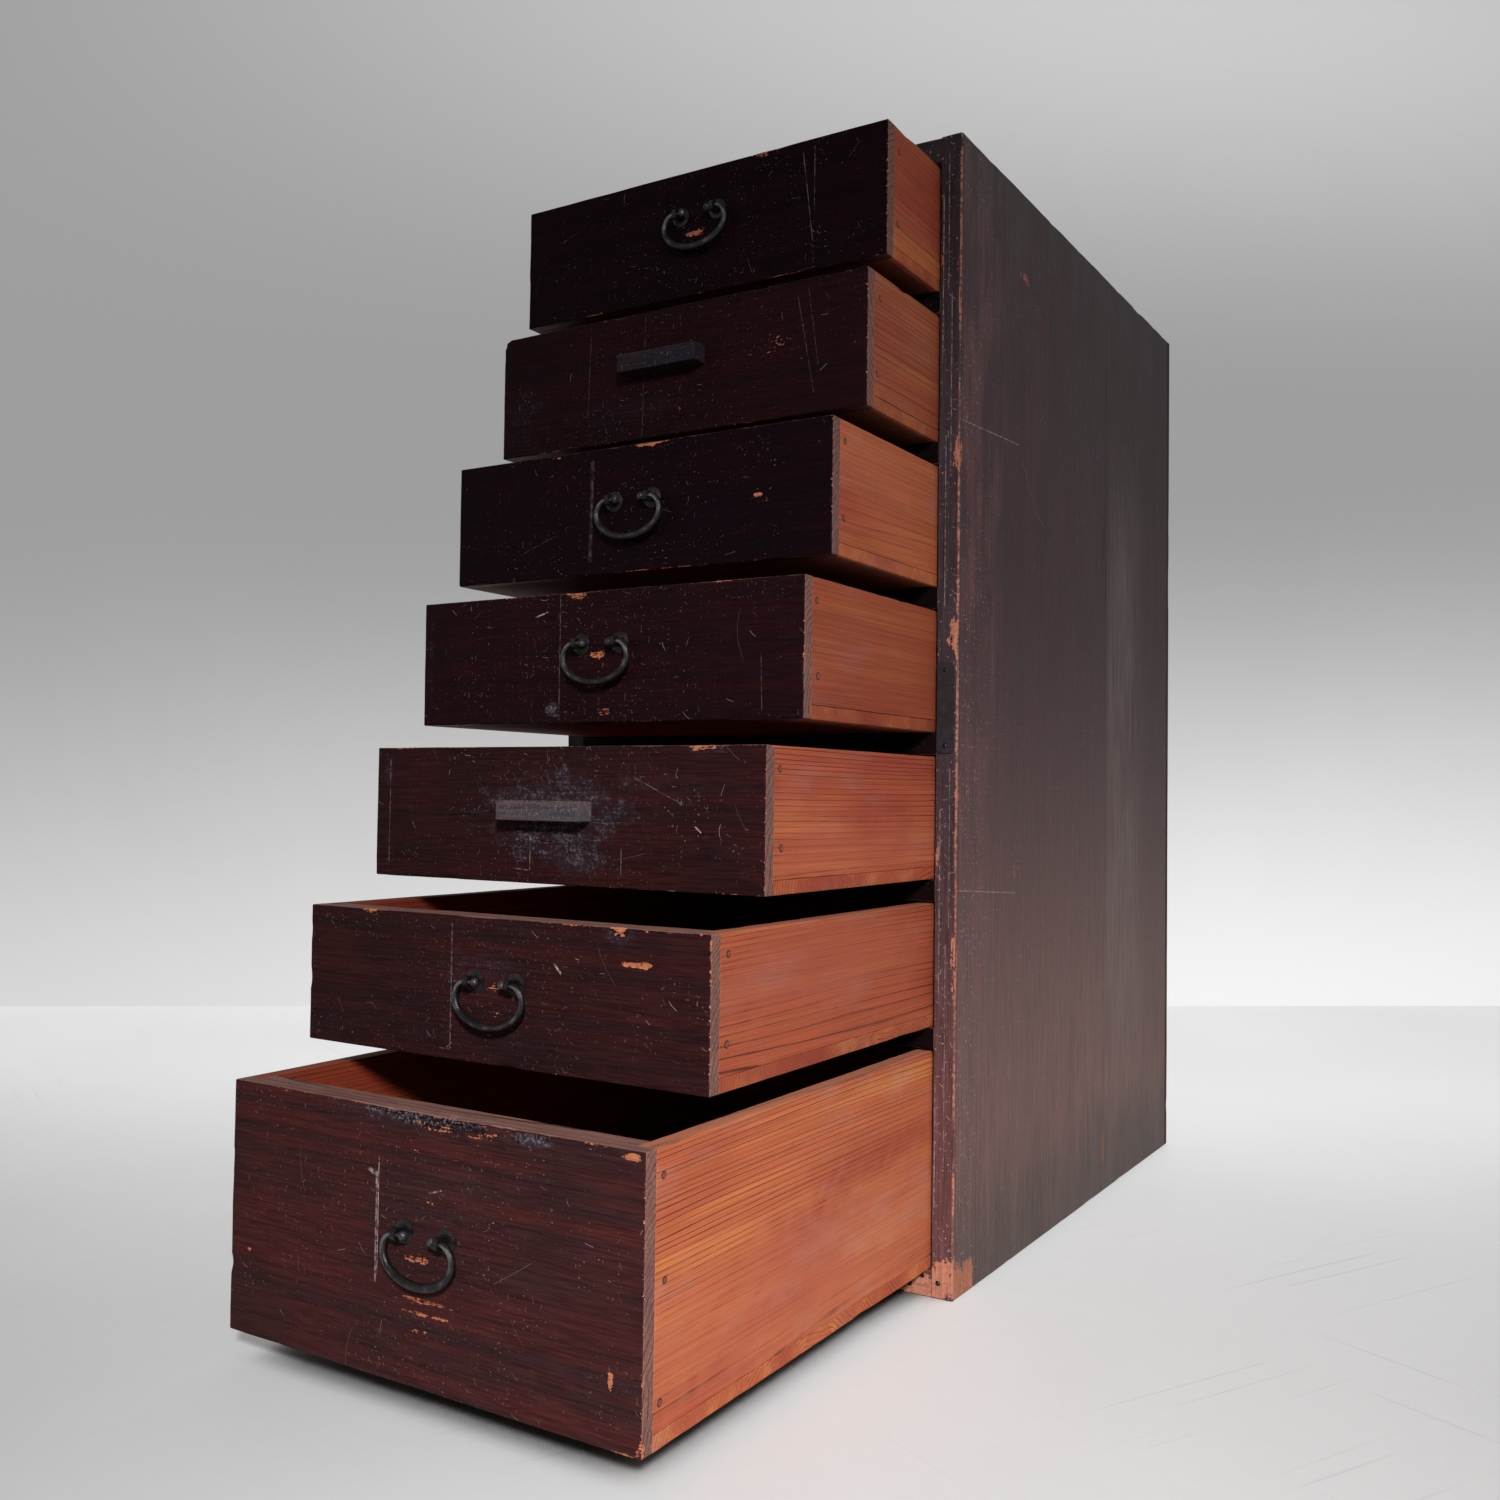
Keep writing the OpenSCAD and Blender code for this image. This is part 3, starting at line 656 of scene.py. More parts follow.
def lattice_skin(planes, cuts):
    """Corners and outward quads of a box on a lattice, with smaller boxes cut out of it"""
    middle = [(p[1:] + p[:-1]) / 2 for p in planes]
    solid = np.ones([len(m) for m in middle], bool)
    for low, high in cuts:
        inside = [(m > low[a]) & (m < high[a]) for a, m in enumerate(middle)]
        solid[np.ix_(*inside)] = False
    padded = np.pad(solid, 1)
    counts = [len(p) for p in planes]
    stride = np.array([counts[1] * counts[2], counts[2], 1])
    quads = []
    for axis in range(3):
        rolled = np.moveaxis(padded, axis, 0)[:, 1:-1, 1:-1].astype(np.int8)
        change = rolled[:-1] - rolled[1:]
        others = [a for a in range(3) if a != axis]
        first, second = (others if axis != 1 else others[::-1])
        for sign in (1, -1):
            found = np.argwhere(change == sign)
            base = np.zeros((len(found), 3), np.int64)
            base[:, axis], base[:, others[0]], base[:, others[1]] = found.T
            start = base @ stride
            one, two = stride[first], stride[second]
            ring = [start, start + one, start + one + two, start + two]
            quads.append(np.stack(ring if sign > 0 else ring[::-1], 1))
    quads = np.concatenate(quads)
    used, flat = np.unique(quads, return_inverse=True)
    spots = np.stack(np.unravel_index(used, counts), 1)
    points = np.stack([planes[a][spots[:, a]] for a in range(3)], 1)
    return points, flat.reshape(-1, 4)


def board(box, step, radius, edges, seed, grain, cuts, soft, marks, finish, dust):
    """One worn board, as points, quads and the values of its attributes.

    box and cuts are pairs of corners, step is the distance between the lattice's planes, and soft
    gives the rounding of a side as a share of radius. grain names the axis along the grain, the one
    across it and the one through the board, then how far the middle of the tree lies beside the
    board and behind it, in millimetres. finish and dust say how much of each lies on a side. A mark
    is its kind, its middle, its half sizes, its depth and its strength.
    """
    low, high = (np.array(corner, float) for corner in box)
    factor = np.ones((3, 2))
    for token, value in soft.items():
        factor[side_of(token)] = value
    planes = []
    for axis in range(3):
        fixed = [corner[axis] for cut in cuts for corner in cut]
        extra = [m[1][axis] + m[2][axis] * t for m in marks for t in np.linspace(-1.15, 1.15, 9)
                 if m[2][axis] < step * 4]
        planes.append(axis_places(low[axis], high[axis], step, factor[axis] > 0, fixed, extra))
    points, quads = lattice_skin(planes, cuts)
    flat = points.copy()

    reach = np.where(factor > 0, 0.0, 1.0)
    gaps = np.stack([flat - low + reach[:, 0], high - flat + reach[:, 1]], 2)
    nearest = np.sort(gaps.min(axis=2), axis=1)
    gentle = np.sort((gaps / np.clip(factor, 0.02, 1.0)).min(axis=2), axis=1)
    local = 0.55 + 0.35 * bumps(flat, 0.028, seed) + 0.25 * bumps(flat, 0.007, seed + 1)
    order = np.argsort(gaps.min(axis=2), axis=1)[:, :2]
    softness = np.where(gaps[:, :, 0] < gaps[:, :, 1], factor[:, 0], factor[:, 1])
    softness = np.take_along_axis(softness, order, axis=1).min(axis=1)
    worn = np.clip(1 - gentle[:, 1] / edges.reach, 0, 1) * local * np.clip(softness * 1.6, 0, 1)
    worn[nearest[:, 0] > 0.3 * MM] = 0.0

    rough = radius * (0.85 + 0.3 * bumps(flat, 0.012, seed + 2))
    chipped = np.clip(bumps(flat, 0.016, seed + 3) - 0.42, 0, 1) * 2.2
    rough = rough + edges.chip * chipped * (radius > 0.6 * MM)
    depth = edges.unplaned * (0.5 + 0.5 * bumps(flat, 0.045, seed + 4))
    level = {"worn": worn, "dust": np.zeros(len(flat)), "finish": np.zeros(len(flat))}
    for kind, rules in (("finish", finish), ("dust", dust)):
        for token, value in rules.items():
            axis, end = side_of(token)
            on_side = abs(flat[:, axis] - (low, high)[end][axis]) < ON_SIDE
            level[kind][on_side] = np.maximum(level[kind][on_side], value)
    for number, (kind, middle, half, dent, strength) in enumerate(marks):
        away = np.sqrt((((flat - np.array(middle)) / np.array(half)) ** 2).sum(1))
        away = away + 0.35 * bumps(flat, 0.006, seed + 5 + number) + 0.25 * bumps(flat, 0.0024, seed)
        here = np.clip((1.2 - away) * 1.5, 0, 1)
        if kind == "edge":
            rough = rough + here * dent * (0.75 + 0.5 * bumps(flat, 0.004, seed + 6))
            level["worn"] = np.maximum(level["worn"], here * strength * (nearest[:, 1] < BARE_EDGE))
        else:
            level[kind] = np.maximum(level[kind], here * strength)
            depth = depth + here * dent * (0.7 + 0.3 * bumps(flat, 0.003, seed + 7))

    rough = np.clip(rough, LEAST_ROUND, 0.42 * (high - low).min())[:, None]
    inner = np.clip(flat, low + rough * factor[:, 0], high - rough * factor[:, 1])
    away = flat - inner
    share_of = np.where(away < 0, factor[:, 0], factor[:, 1]) * rough
    stretch = np.sqrt(((away / np.maximum(share_of, 1e-9)) ** 2).sum(1))
    rounded = inner + away / np.maximum(stretch, 1.0)[:, None]
    size = np.linalg.norm(away, axis=1)
    outward = away / np.maximum(size, 1e-9)[:, None]
    points = rounded - outward * depth[:, None]

    along, across, through = ("xyz".index(letter) for letter in grain[0])
    centre = (low + high) / 2
    rings = np.stack([
        flat[:, along] - low[along] + 1.37 * seed,
        flat[:, across] - centre[across] - grain[1] * MM,
        flat[:, through] - centre[through] - grain[2] * MM], 1)
    return {"points": points, "quads": quads, "grain": rings, **level}


def make_piece(name, parts, material, body, nodes, crease=CREASE):
    """Joins parts into one mesh that rides on a body and stands for CAD nodes"""
    shift, quads = 0, []
    for part in parts:
        quads.append(part["quads"] + shift)
        shift += len(part["points"])
    points = np.concatenate([p["points"] for p in parts])
    quads = np.concatenate(quads)
    mesh = bpy.data.meshes.new(name)
    mesh.vertices.add(len(points))
    mesh.vertices.foreach_set("co", points.astype(np.float32).ravel())
    mesh.loops.add(quads.size)
    mesh.loops.foreach_set("vertex_index", quads.ravel().astype(np.int32))
    mesh.polygons.add(len(quads))
    mesh.polygons.foreach_set("loop_start", np.arange(0, quads.size, 4, dtype=np.int32))
    mesh.polygons.foreach_set("use_smooth", np.ones(len(quads), bool))
    mesh.update(calc_edges=True)
    for key in ("grain", "finish", "worn", "dust"):
        if key not in parts[0]:
            continue
        values = np.concatenate([p[key] for p in parts]).astype(np.float32)
        kind, field = ("FLOAT_VECTOR", "vector") if key == "grain" else ("FLOAT", "value")
        mesh.attributes.new(key, kind, "POINT").data.foreach_set(field, values.ravel())
    mesh.set_sharp_from_angle(angle=math.radians(crease))
    place_piece(name, mesh, material, body, nodes)


def place_piece(name, mesh, material, body, nodes):
    """Puts a finished mesh on its body, with its material, in the place of CAD nodes"""
    if mesh.validate():
        raise RuntimeError(f"{name} has broken faces")
    piece = bpy.data.objects.new(name, mesh)
    bpy.context.scene.collection.objects.link(piece)
    mesh.materials.clear()
    mesh.materials.append(material)
    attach(piece, body)
    if nodes:
        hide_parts(*nodes)


def islands(node):
    """The loose solids of a CAD node, each as an array of its corners"""
    work = bmesh.new()
    work.from_mesh(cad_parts[node].data)
    bmesh.ops.remove_doubles(work, verts=work.verts, dist=0.01 * MM)
    left, found = set(work.verts), []
    while left:
        todo, group = [left.pop()], []
        while todo:
            vert = todo.pop()
            group.append(tuple(vert.co))
            for edge in vert.link_edges:
                other = edge.other_vert(vert)
                if other in left:
                    left.remove(other)
                    todo.append(other)
        found.append(np.array(group))
    work.free()
    return sorted(found, key=lambda group: tuple(np.round(group.min(0), 4)))


def box_of(points):
    """The lowest and the highest corner round some points"""
    return points.min(0), points.max(0)


def corners(node):
    """The lowest and the highest corner of a CAD node"""
    return tuple(np.array(corner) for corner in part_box(node))


def tenons(points, inner):
    """The parts of a rail or board that go into the side panels, as boxes"""
    found = []
    for sign in (-1, 1):
        end = points[points[:, 0] * sign > inner + 0.5 * MM]
        low, high = box_of(end)
        edge = sorted((sign * inner, sign * abs(end[:, 0]).max()))
        found.append(((edge[0], low[1], low[2]), (edge[1], high[1], high[2])))
    return found


def beside_tenons(points, inner):
    """The boxes that are left out round both tenons of a rail or board"""
    low, high = box_of(points)
    left_out = []
    for (x0, y0, z0), (x1, _, z1) in tenons(points, inner):
        left_out += [((x0, low[1] - MM, low[2] - MM), (x1, y0, high[2] + MM)),
                     ((x0, low[1] - MM, low[2] - MM), (x1, high[1] + MM, z0)),
                     ((x0, low[1] - MM, z1), (x1, high[1] + MM, high[2] + MM))]
    return left_out


# Distance between the lattice's planes for each kind of board
GRID = {
    "panel": 6.5 * MM, "across": 9 * MM, "rail": 8 * MM, "runner": 12 * MM, "case_back": 9 * MM,
    "front": 3 * MM, "side": 8 * MM, "back": 10 * MM, "bottom": 11 * MM, "bar": 2.2 * MM,
}
# Seed of the first board of each kind
SEED = {
    "panel": 11, "across": 21, "rail": 31, "runner": 41, "case_back": 61,
    "front": 70, "side": 90, "back": 92, "bottom": 93, "bar": 190,
}
# The right side panel: its inner face, its front edge, its outer face and how far back its seam is
PANEL_LOW, PANEL_HIGH = corners("side_right_front_board")
INNER, CASE_FRONT = PANEL_LOW[:2]
CASE_SIDE, SEAM = PANEL_HIGH[0], PANEL_HIGH[1] - CASE_FRONT


def at_case(kind, x, y, z, half, dent, strength):
    """A mark on the case: x from its middle, y from its front edges and z from the floor, in mm"""
    middle = (x * MM, CASE_FRONT + y * MM, z * MM)
    return kind, middle, tuple(h * MM for h in half), dent * MM, strength


# Marks of wear on the right side panel and its front edge: kind, place and half sizes, depth and
# strength, in millimetres
CASE_MARKS = [at_case(*mark) for mark in (
    ("worn", 162, 0, 12, (22, 4, 17), 0.3, 1.2),
    ("worn", 170, 18, 8, (5, 24, 14), 0.3, 1.2),
    ("worn", 170, 4, 14, (5, 9, 17), 0.2, 1.1),
    ("edge", 170, 0, 400, (2.2, 2.2, 420), 0.3, 0.62),
    ("edge", 170, 0, 700, (3, 3, 70), 0.4, 0.7),
    ("worn", 170, 14, 342, (4, 14, 50), 0.1, 0.46),
    ("worn", 170, 10, 608, (4, 14, 26), 0.1, 0.5),
    ("worn", 170, 18, 398, (4, 12, 20), 0.1, 0.4),
    ("worn", 170, 60, 60, (4, 60, 30), 0.1, 0.34),
    ("edge", 169, -1, 450, (5, 4, 21), 1.4, 0.95),
    ("worn", 166.5, 0, 452, (4.5, 3, 20), 0.4, 0.95),
    ("edge", 170, 0, 577, (5, 5, 15), 1.0, 0.9),
    ("worn", 168, 0, 577, (3, 3, 13), 0.3, 0.9),
    ("worn", 168, 0, 228, (2.5, 3, 27), 0.3, 0.85),
    ("edge", 170, 0, 345, (3, 3, 26), 0.6, 0.8),
    ("edge", 170, 0, 225, (4, 4, 28), 0.7, 0.85),
    ("edge", 170, 0, 152, (3, 3, 22), 0.6, 0.8),
    ("worn", 170, 124, 736, (4, 14, 4), 0.3, 0.8),
    ("worn", 170, 146, 722, (4, 12, 10), 0.3, 0.6),
    ("worn", 170, 108, 286, (4, 16, 8), 0.2, 0.58),
    ("worn", 170, 205, 96, (4, 3, 9), 0.2, 0.8),
    ("worn", 170, 170, 66, (4, 2, 18), 0.2, 0.75),
    ("edge", 170, 322, 40, (5, 4, 22), 0.8, 1.0),
    ("edge", 170, 322, 110, (5, 3, 12), 0.6, 0.8),
    ("worn", 154, 0, 712, (3, 3, 7), 0.3, 1.0),
    ("worn", 156, 0, 300, (2, 3, 12), 0.2, 0.8),
)]


# The bare line along the right front arris, and long scratches on the right side panel and its
# front edge: both ends, the width and the strength, in millimetres
SIDE_X, FRONT_Y = CASE_SIDE / MM, CASE_FRONT / MM
ARRIS = ((SIDE_X, FRONT_Y, 24), (SIDE_X, FRONT_Y, 790), 2.4, 1.0)
CASE_LINES = [
    ((SIDE_X, FRONT_Y + y0, z0), (SIDE_X, FRONT_Y + y1, z1), width, strength)
    for y0, z0, y1, z1, width, strength in (
        (4, 600, 112, 606, 0.8, 0.5), (6, 276, 112, 269, 0.8, 0.45), (118, 596, 150, 560, 0.6, 0.3),
        (150, 560, 170, 552, 0.6, 0.3), (180, 380, 186, 300, 0.6, 0.2), (60, 470, 64, 400, 0.6, 0.2))
] + [
    ((x, FRONT_Y, z0), (x, FRONT_Y, z1), 0.6, strength)
    for x, z0, z1, strength in (
        (156.5, 640, 760, 0.5), (159.5, 470, 590, 0.45), (163.2, 560, 690, 0.4),
        (157.5, 200, 330, 0.4), (162.2, 90, 240, 0.35), (155.5, 60, 150, 0.4),
        (164.5, 250, 360, 0.3), (160.5, 690, 790, 0.4))
]
BASE_MARKS = [at_case("worn", 140, 0, 8, (19, 5, 13), 0.3, 1.2)]
# How high the painted grey-green sheen at the foot of the side panels reaches
FOOT = 0.075
# For the two boards of a side panel: where the middle of the tree lies, and the rounding and the
# finish of the edges in front and behind
PANEL_BOARDS = {
    "front": (150, {"y0": 1.0, "y1": 0.3}, {"y0": 1.0, "y1": 1.0}),
    "back": (-110, {"y0": 0.3, "y1": 0.1}, {"y1": 1.0}),
}
# Tone of the runners, tone of the back boards, and how much lighter these are inside their edges
RUNNER_TONE = (0.6, 0.6, 0.6)
BACK_TONE = (0.12, 0.116, 0.112)
BACK_LIGHT = 5.2
# Where the middle of the tree lies for each of the three back boards
BACK_TREES = (15, -70, 30)
# How far a cut reaches past the face that it cuts
PAST = 1e-6


class CABINET_OT_case(bpy.types.Operator):
    """Worn boards for the side panels, the top, the base, the rails, the runners and the back"""
    bl_idname = "cabinet.case"
    bl_label = "Case Boards"

    def execute(self, context):
        wood, edges = context.scene.cabinet_wood, context.scene.cabinet_edges
        stain = stained("case_stain", wood, FOOT, CASE_BOX[1].z, CASE_LINES)
        rails = islands("front_rails")
        across = {node: np.array([v.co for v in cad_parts[node].data.vertices])
                  for node in ("top_board", "base_board")}
        housings = [box for points in (*rails, *across.values()) for box in tenons(points, INNER)]
        self.panels(edges, stain, housings)
        for number, (node, points) in enumerate(across.items()):
            upper = node == "top_board"
            part_of = board(
                box_of(points), GRID["across"], edges.case_round * 0.6, edges, SEED["across"] + number,
                ("xyz", 40, -60), beside_tenons(points, INNER), {"x0": 0.2, "x1": 0.2, "y1": 0.3},
                () if upper else BASE_MARKS, {"y0": 1.0, "z1" if upper else "z0": 1.0}, {"z1": 0.35})
            make_piece(f"{node}_wood", [part_of], stain, "case", [node])
        parts = [board(
            box_of(points), GRID["rail"], edges.case_round * 0.7, edges, SEED["rail"] + number,
            ("xyz", 12, -40), beside_tenons(points, INNER), {"x0": 0.2, "x1": 0.2}, (),
            {"y0": 1.0, "z1": 0.5}, {"z1": 0.3})
            for number, points in enumerate(rails)]
        # Near-black rails: a dark stain with painted shade of the drawers over them
        dark = lacquered("shaded_rail_lacquer", wood, wood.rail_stain_and_shade, wood.ring, knocks=0.3)
        make_piece("front_rails_wood", parts, dark, "case", ["front_rails"])
        self.inside(wood, edges)
        return {"FINISHED"}

    def panels(self, edges, stain, housings):
        """Both side panels, each of a front and a back board, housed for the rails and boards"""
        for number, (side, sign) in enumerate((("left", -1), ("right", 1))):
            outer, inner = ("x1", "x0") if sign > 0 else ("x0", "x1")
            for part, (place, (tree, soft, finish)) in enumerate(PANEL_BOARDS.items()):
                node = f"side_{side}_{place}_board"
                low, high = corners(node)
                cuts = [(np.array(a) - (PAST, 0, 0), np.array(b) + (PAST, 0, 0)) for a, b in housings
                        if a[0] * sign > 0 and b[1] > low[1] + MM and a[1] < high[1] - MM]
                part_of = board(
                    (low, high), GRID["panel"], edges.case_round, edges,
                    SEED["panel"] + 2 * number + part, ("zyx", tree, -55 * sign), cuts,
                    {inner: 0.5, "z0": 0.8, **soft}, CASE_MARKS if sign > 0 else (),
                    {outer: 1.0, "z1": 1.0, "z0": 0.6, **finish}, {"z1": 0.5})
                make_piece(f"{node}_wood", [part_of], stain, "case", [node])

    def inside(self, wood, edges):
        """The runners and the back boards"""
        plain = cedar_wood("runner_cedar", wood, RUNNER_TONE)
        for number, side in enumerate(("left", "right")):
            parts = [board(
                box_of(points), GRID["runner"], edges.box_round * 0.6, edges,
                SEED["runner"] + 6 * number + count, ("yxz", 8, -45), (), {"y0": 0.3}, (), {}, {"z1": 0.4})
                for count, points in enumerate(islands(f"runners_{side}"))]
            make_piece(f"runners_{side}_wood", parts, plain, "case", [f"runners_{side}"])
        half = corners("back_boards")[1][0]
        rough = cedar_wood("back_cedar", wood, BACK_TONE, 1.0, half, BACK_LIGHT)
        parts = [board(
            box_of(points), GRID["case_back"], edges.box_round, edges, SEED["case_back"] + count,
            ("zxy", BACK_TREES[count], 38), (), {"y0": 0.4}, (), {}, {"y1": 0.45, "z1": 0.6})
            for count, points in enumerate(islands("back_boards"))]
        make_piece("back_boards_wood", parts, rough, "case", ["back_boards"])


# Marks of wear on the drawer fronts: kind, x from the drawer's middle, height above its lower
# edge, half width, half height, depth and strength, in millimetres
FRONT_MARKS = {
    1: [("worn", 1, 44, 9, 3.2, 0.4, 0.88), ("edge", 60, 89, 18, 4, 0.5, 0.8)],
    2: [("worn", 80, 49, 24, 10, 0.1, 0.53), ("edge", -151, 88, 5, 5, 2.6, 0.6),
        ("dust", -130, 30, 26, 24, 0.0, 0.3), ("dust", -40, 22, 70, 14, 0.0, 0.24)],
    3: [("edge", 16, 84, 15, 3, 1.2, 1.1), ("worn", 99, 41, 3.5, 2, 0.3, 1.1),
        ("edge", -60, 84, 20, 3, 0.8, 0.6), ("edge", -142, 0, 14, 4, 0.8, 0.4)],
    4: [("edge", -16, 84, 14, 4, 1.4, 1.0), ("worn", -18, 82, 12, 3, 0.5, 0.9),
        ("dust", -37, 9.5, 7, 6, 0.0, 0.95), ("worn", 0, 44, 9, 3.6, 0.5, 0.92),
        ("dust", -145, 40, 3, 44, 0.0, 0.36), ("worn", -2, 24, 9, 2.5, 0.2, 0.8),
        ("worn", 6, 7, 6, 3, 0.2, 0.85), ("worn", -24, 7, 5, 2, 0.2, 0.75)],
    5: [("dust", 2, 45, 60, 27, 0.0, 0.66), ("edge", 111, 84, 14, 3, 1.0, 0.9),
        ("dust", 111, 82, 14, 3, 0.2, 0.6), ("dust", -26, 20, 9, 10, 0.0, 0.6),
        ("dust", 20, 18, 30, 12, 0.0, 0.55), ("dust", -141, 70, 6, 12, 0.0, 0.4),
        ("dust", 84, 60, 44, 20, 0.0, 0.22)],
    6: [("dust", -10, 52, 36, 22, 0.0, 0.34), ("worn", 104, 65, 10, 2.2, 0.7, 1.15),
        ("edge", 91, 85, 9, 4, 1.4, 1.2), ("worn", 92, 82, 8, 3.4, 0.4, 0.85),
        ("dust", 92, 80, 12, 6, 0.0, 0.5), ("worn", 36, 50, 6, 4, 0.2, 0.6),
        ("worn", 2, 44, 9, 3, 0.3, 0.7), ("edge", -100, 85, 16, 4, 1.0, 0.9),
        ("worn", 1, 30, 12, 3, 0.2, 0.66), ("edge", 120, 85, 20, 3, 0.7, 0.8)],
    7: [("edge", 6, 147.5, 84, 7, 3.2, 0.5), ("worn", 24, 141, 42, 3.4, 0.9, 0.72),
        ("worn", 22, 126, 60, 6, 0.1, 0.42), ("dust", -4, 144.5, 66, 6, 1.1, 0.75),
        ("worn", 0, 69, 13, 4, 0.4, 0.8), ("worn", 6, 99, 12, 3, 0.2, 0.6),
        ("worn", 8, 47, 27, 1.6, 0.2, 0.85), ("worn", 8, 40, 21, 2.0, 0.2, 0.8),
        ("worn", 8, 30, 14, 2.5, 0.1, 0.66), ("worn", 143, 144, 9, 3, 0.6, 1.3),
        ("worn", 132, 34, 1.8, 6, 0.3, 1.1), ("edge", 151, 4, 5, 5, 1.3, 0.9),
        ("dust", 80, 143, 15, 4.5, 0.8, 1.0), ("dust", 10, 106, 60, 20, 0.0, 0.26),
        ("edge", -94, 147, 16, 3, 0.5, 0.7), ("worn", -135, 50, 3, 2, 0.2, 0.9)],
}
# Long scratches: x and height of both ends, the width and the strength
FRONT_LINES = {
    1: [(88, 82, 96, 19, 0.5, 0.32), (97, 84, 97, 40, 0.5, 0.22), (-120, 60, -104, 66, 0.5, 0.25)],
    2: [(100, 80, 113, 12, 0.4, 0.15), (108, 84, 116, 30, 0.4, 0.13), (-22, 88, -24, 2, 0.5, 0.13),
        (-70, 80, -72, 20, 0.6, 0.12)],
    3: [(-32, 78, -33, 8, 2.6, 0.07), (-32, 66, -33, 12, 0.8, 0.16), (-95, 18, -60, 30, 0.4, 0.13)],
    4: [(-31, 84, -31, 2, 0.6, 0.2), (-52, 70, -41, 73, 0.9, 0.75), (122, 40, 123, 4, 0.4, 0.15)],
    5: [(-139.5, 78, -139.5, 6, 0.7, 0.24), (-18, 30, -18, 8, 0.7, 0.34), (52, 24, 52, 6, 0.6, 0.2),
        (-30, 9, -18, 8, 0.6, 0.3), (60, 66, 96, 50, 0.5, 0.22), (104, 38, 109, 34, 0.7, 0.75)],
    6: [(-31, 80, -31, 6, 0.9, 0.2), (-40, 6, -31, 6, 0.7, 0.2), (46, 62, 52, 56, 1.2, 0.8)],
    7: [(-31, 112, -31, 50, 1.3, 0.42), (-29.6, 120, -29.6, 54, 0.5, 0.8), (-31, 110, -31, 101, 1.6, 0.6),
        (-38, 112, -31, 109, 2.0, 0.6), (8, 105, 18, 108, 0.8, 0.5)],
}
# How far each front goes from the upper lacquer to the lower one: partly a real browner lacquer low down,
# partly painted light that darkens the upper fronts and lightens the lower ones like the pale floor's
# reflection
LACQUER_AGE_AND_LIGHT = (0.03, 0.2, 0.04, 0.18, 0.5, 0.57, 1.0)
# How many scratches each front has
FRONT_KNOCKS = (0.5, 0.65, 0.6, 1.0, 0.95, 0.9, 0.8)
# Where the middle of the tree lies for each front, above and behind
FRONT_TREES = ((-70, 84), (64, 96), (-80, 90), (-38, 52), (-66, 100), (-46, 60), (-90, 110))
# How much wider the rings of a front are than those of the other boards, by turns
RING_GAINS = (0.9, 1.05, 1.2)
# How deep the marks of a front reach
MARK_REACH = 5 * MM
FRONT_HALF = corners("drawer_7_front")[1][0]


def drawer_plane(number):
    """The front plane of a drawer and the height of its lower edge"""
    low = corners(f"drawer_{number}_front")[0]
    return low[1], low[2]


class CABINET_OT_fronts(bpy.types.Operator):
    """Lacquered drawer fronts with their own marks of wear"""
    bl_idname = "cabinet.fronts"
    bl_label = "Drawer Fronts"

    def execute(self, context):
        wood, edges = context.scene.cabinet_wood, context.scene.cabinet_edges
        for number in DRAWERS:
            node = f"drawer_{number}_front"
            plane, floor = drawer_plane(number)
            marks = [
                (kind, (x * MM, plane, floor + z * MM), (w * MM, MARK_REACH, h * MM), dent * MM, strength)
                for kind, x, z, w, h, dent, strength in FRONT_MARKS[number]]
            top = corners(node)[1][2]
            marks.append(("edge", (FRONT_HALF, plane, (floor + top) / 2),
                          (1.5 * MM, 1.5 * MM, (top - floor) * 0.56), 0.2 * MM, 0.6))
            lines = [((x0, plane / MM, floor / MM + z0), (x1, plane / MM, floor / MM + z1), width, strength)
                     for x0, z0, x1, z1, width, strength in FRONT_LINES[number]]
            # Partly real ageing of the lacquer, partly painted light: upper fronts darker, lower fronts
            # lighter
            age_and_light = LACQUER_AGE_AND_LIGHT[number - 1]
            coat = tuple(a + (b - a) * age_and_light for a, b in zip(wood.lacquer, wood.lacquer_low))
            material = lacquered(
                f"lacquer_{number}", wood, coat, wood.ring * RING_GAINS[number % 3], lines,
                knocks=FRONT_KNOCKS[number - 1])
            cuts = [corners(f"drawer_{number}_{part}") for part in ("side_left", "side_right", "bottom")]
            part_of = board(
                corners(node), GRID["front"], edges.front_round, edges, SEED["front"] + number,
                ("xzy", *FRONT_TREES[number - 1]), cuts, {"y1": 0.6}, marks,
                {"y0": 1.0, "x0": 0.42, "x1": 0.42, "z1": 0.45, "z0": 0.6}, {"z1": 0.4})
            make_piece(f"{node}_wood", [part_of], material, f"drawer_{number}", [node])
        return {"FINISHED"}


# Tone of each drawer's cedar and the strength of its grain lines; the tones are partly the wood's own,
# partly painted shade that darkens the upper drawers
CEDAR_TONES_AND_SHADE = {
    1: ((0.76, 0.70, 0.74), 0.8), 2: ((0.64, 0.66, 0.70), 0.8), 3: ((0.84, 0.88, 0.92), 0.6),
    4: ((0.60, 0.54, 0.58), 0.3), 5: ((0.82, 0.75, 0.82), 1.15), 6: ((0.74, 0.68, 0.74), 1.1),
    7: ((0.98, 1.02, 1.02), 1.15),
}
# Painted shade: how much darker the left sides and the backs are than the right sides, for the shade inside
# the drawers
SHADED_CEDAR = (0.5, 0.3, 0.26)
# Where the middle of the tree lies for the sides of each drawer
SIDE_TREES = (-52, -48, -60, -70, -58, -44, -84)
# Painted shade of each drawer's bottom board between its left and right edges, for the shade inside and
# under the drawer
BOTTOM_PAINTED_SHADES = (0.4, 0.4, 0.4, 0.9, 0.72, 0.5, 0.3)
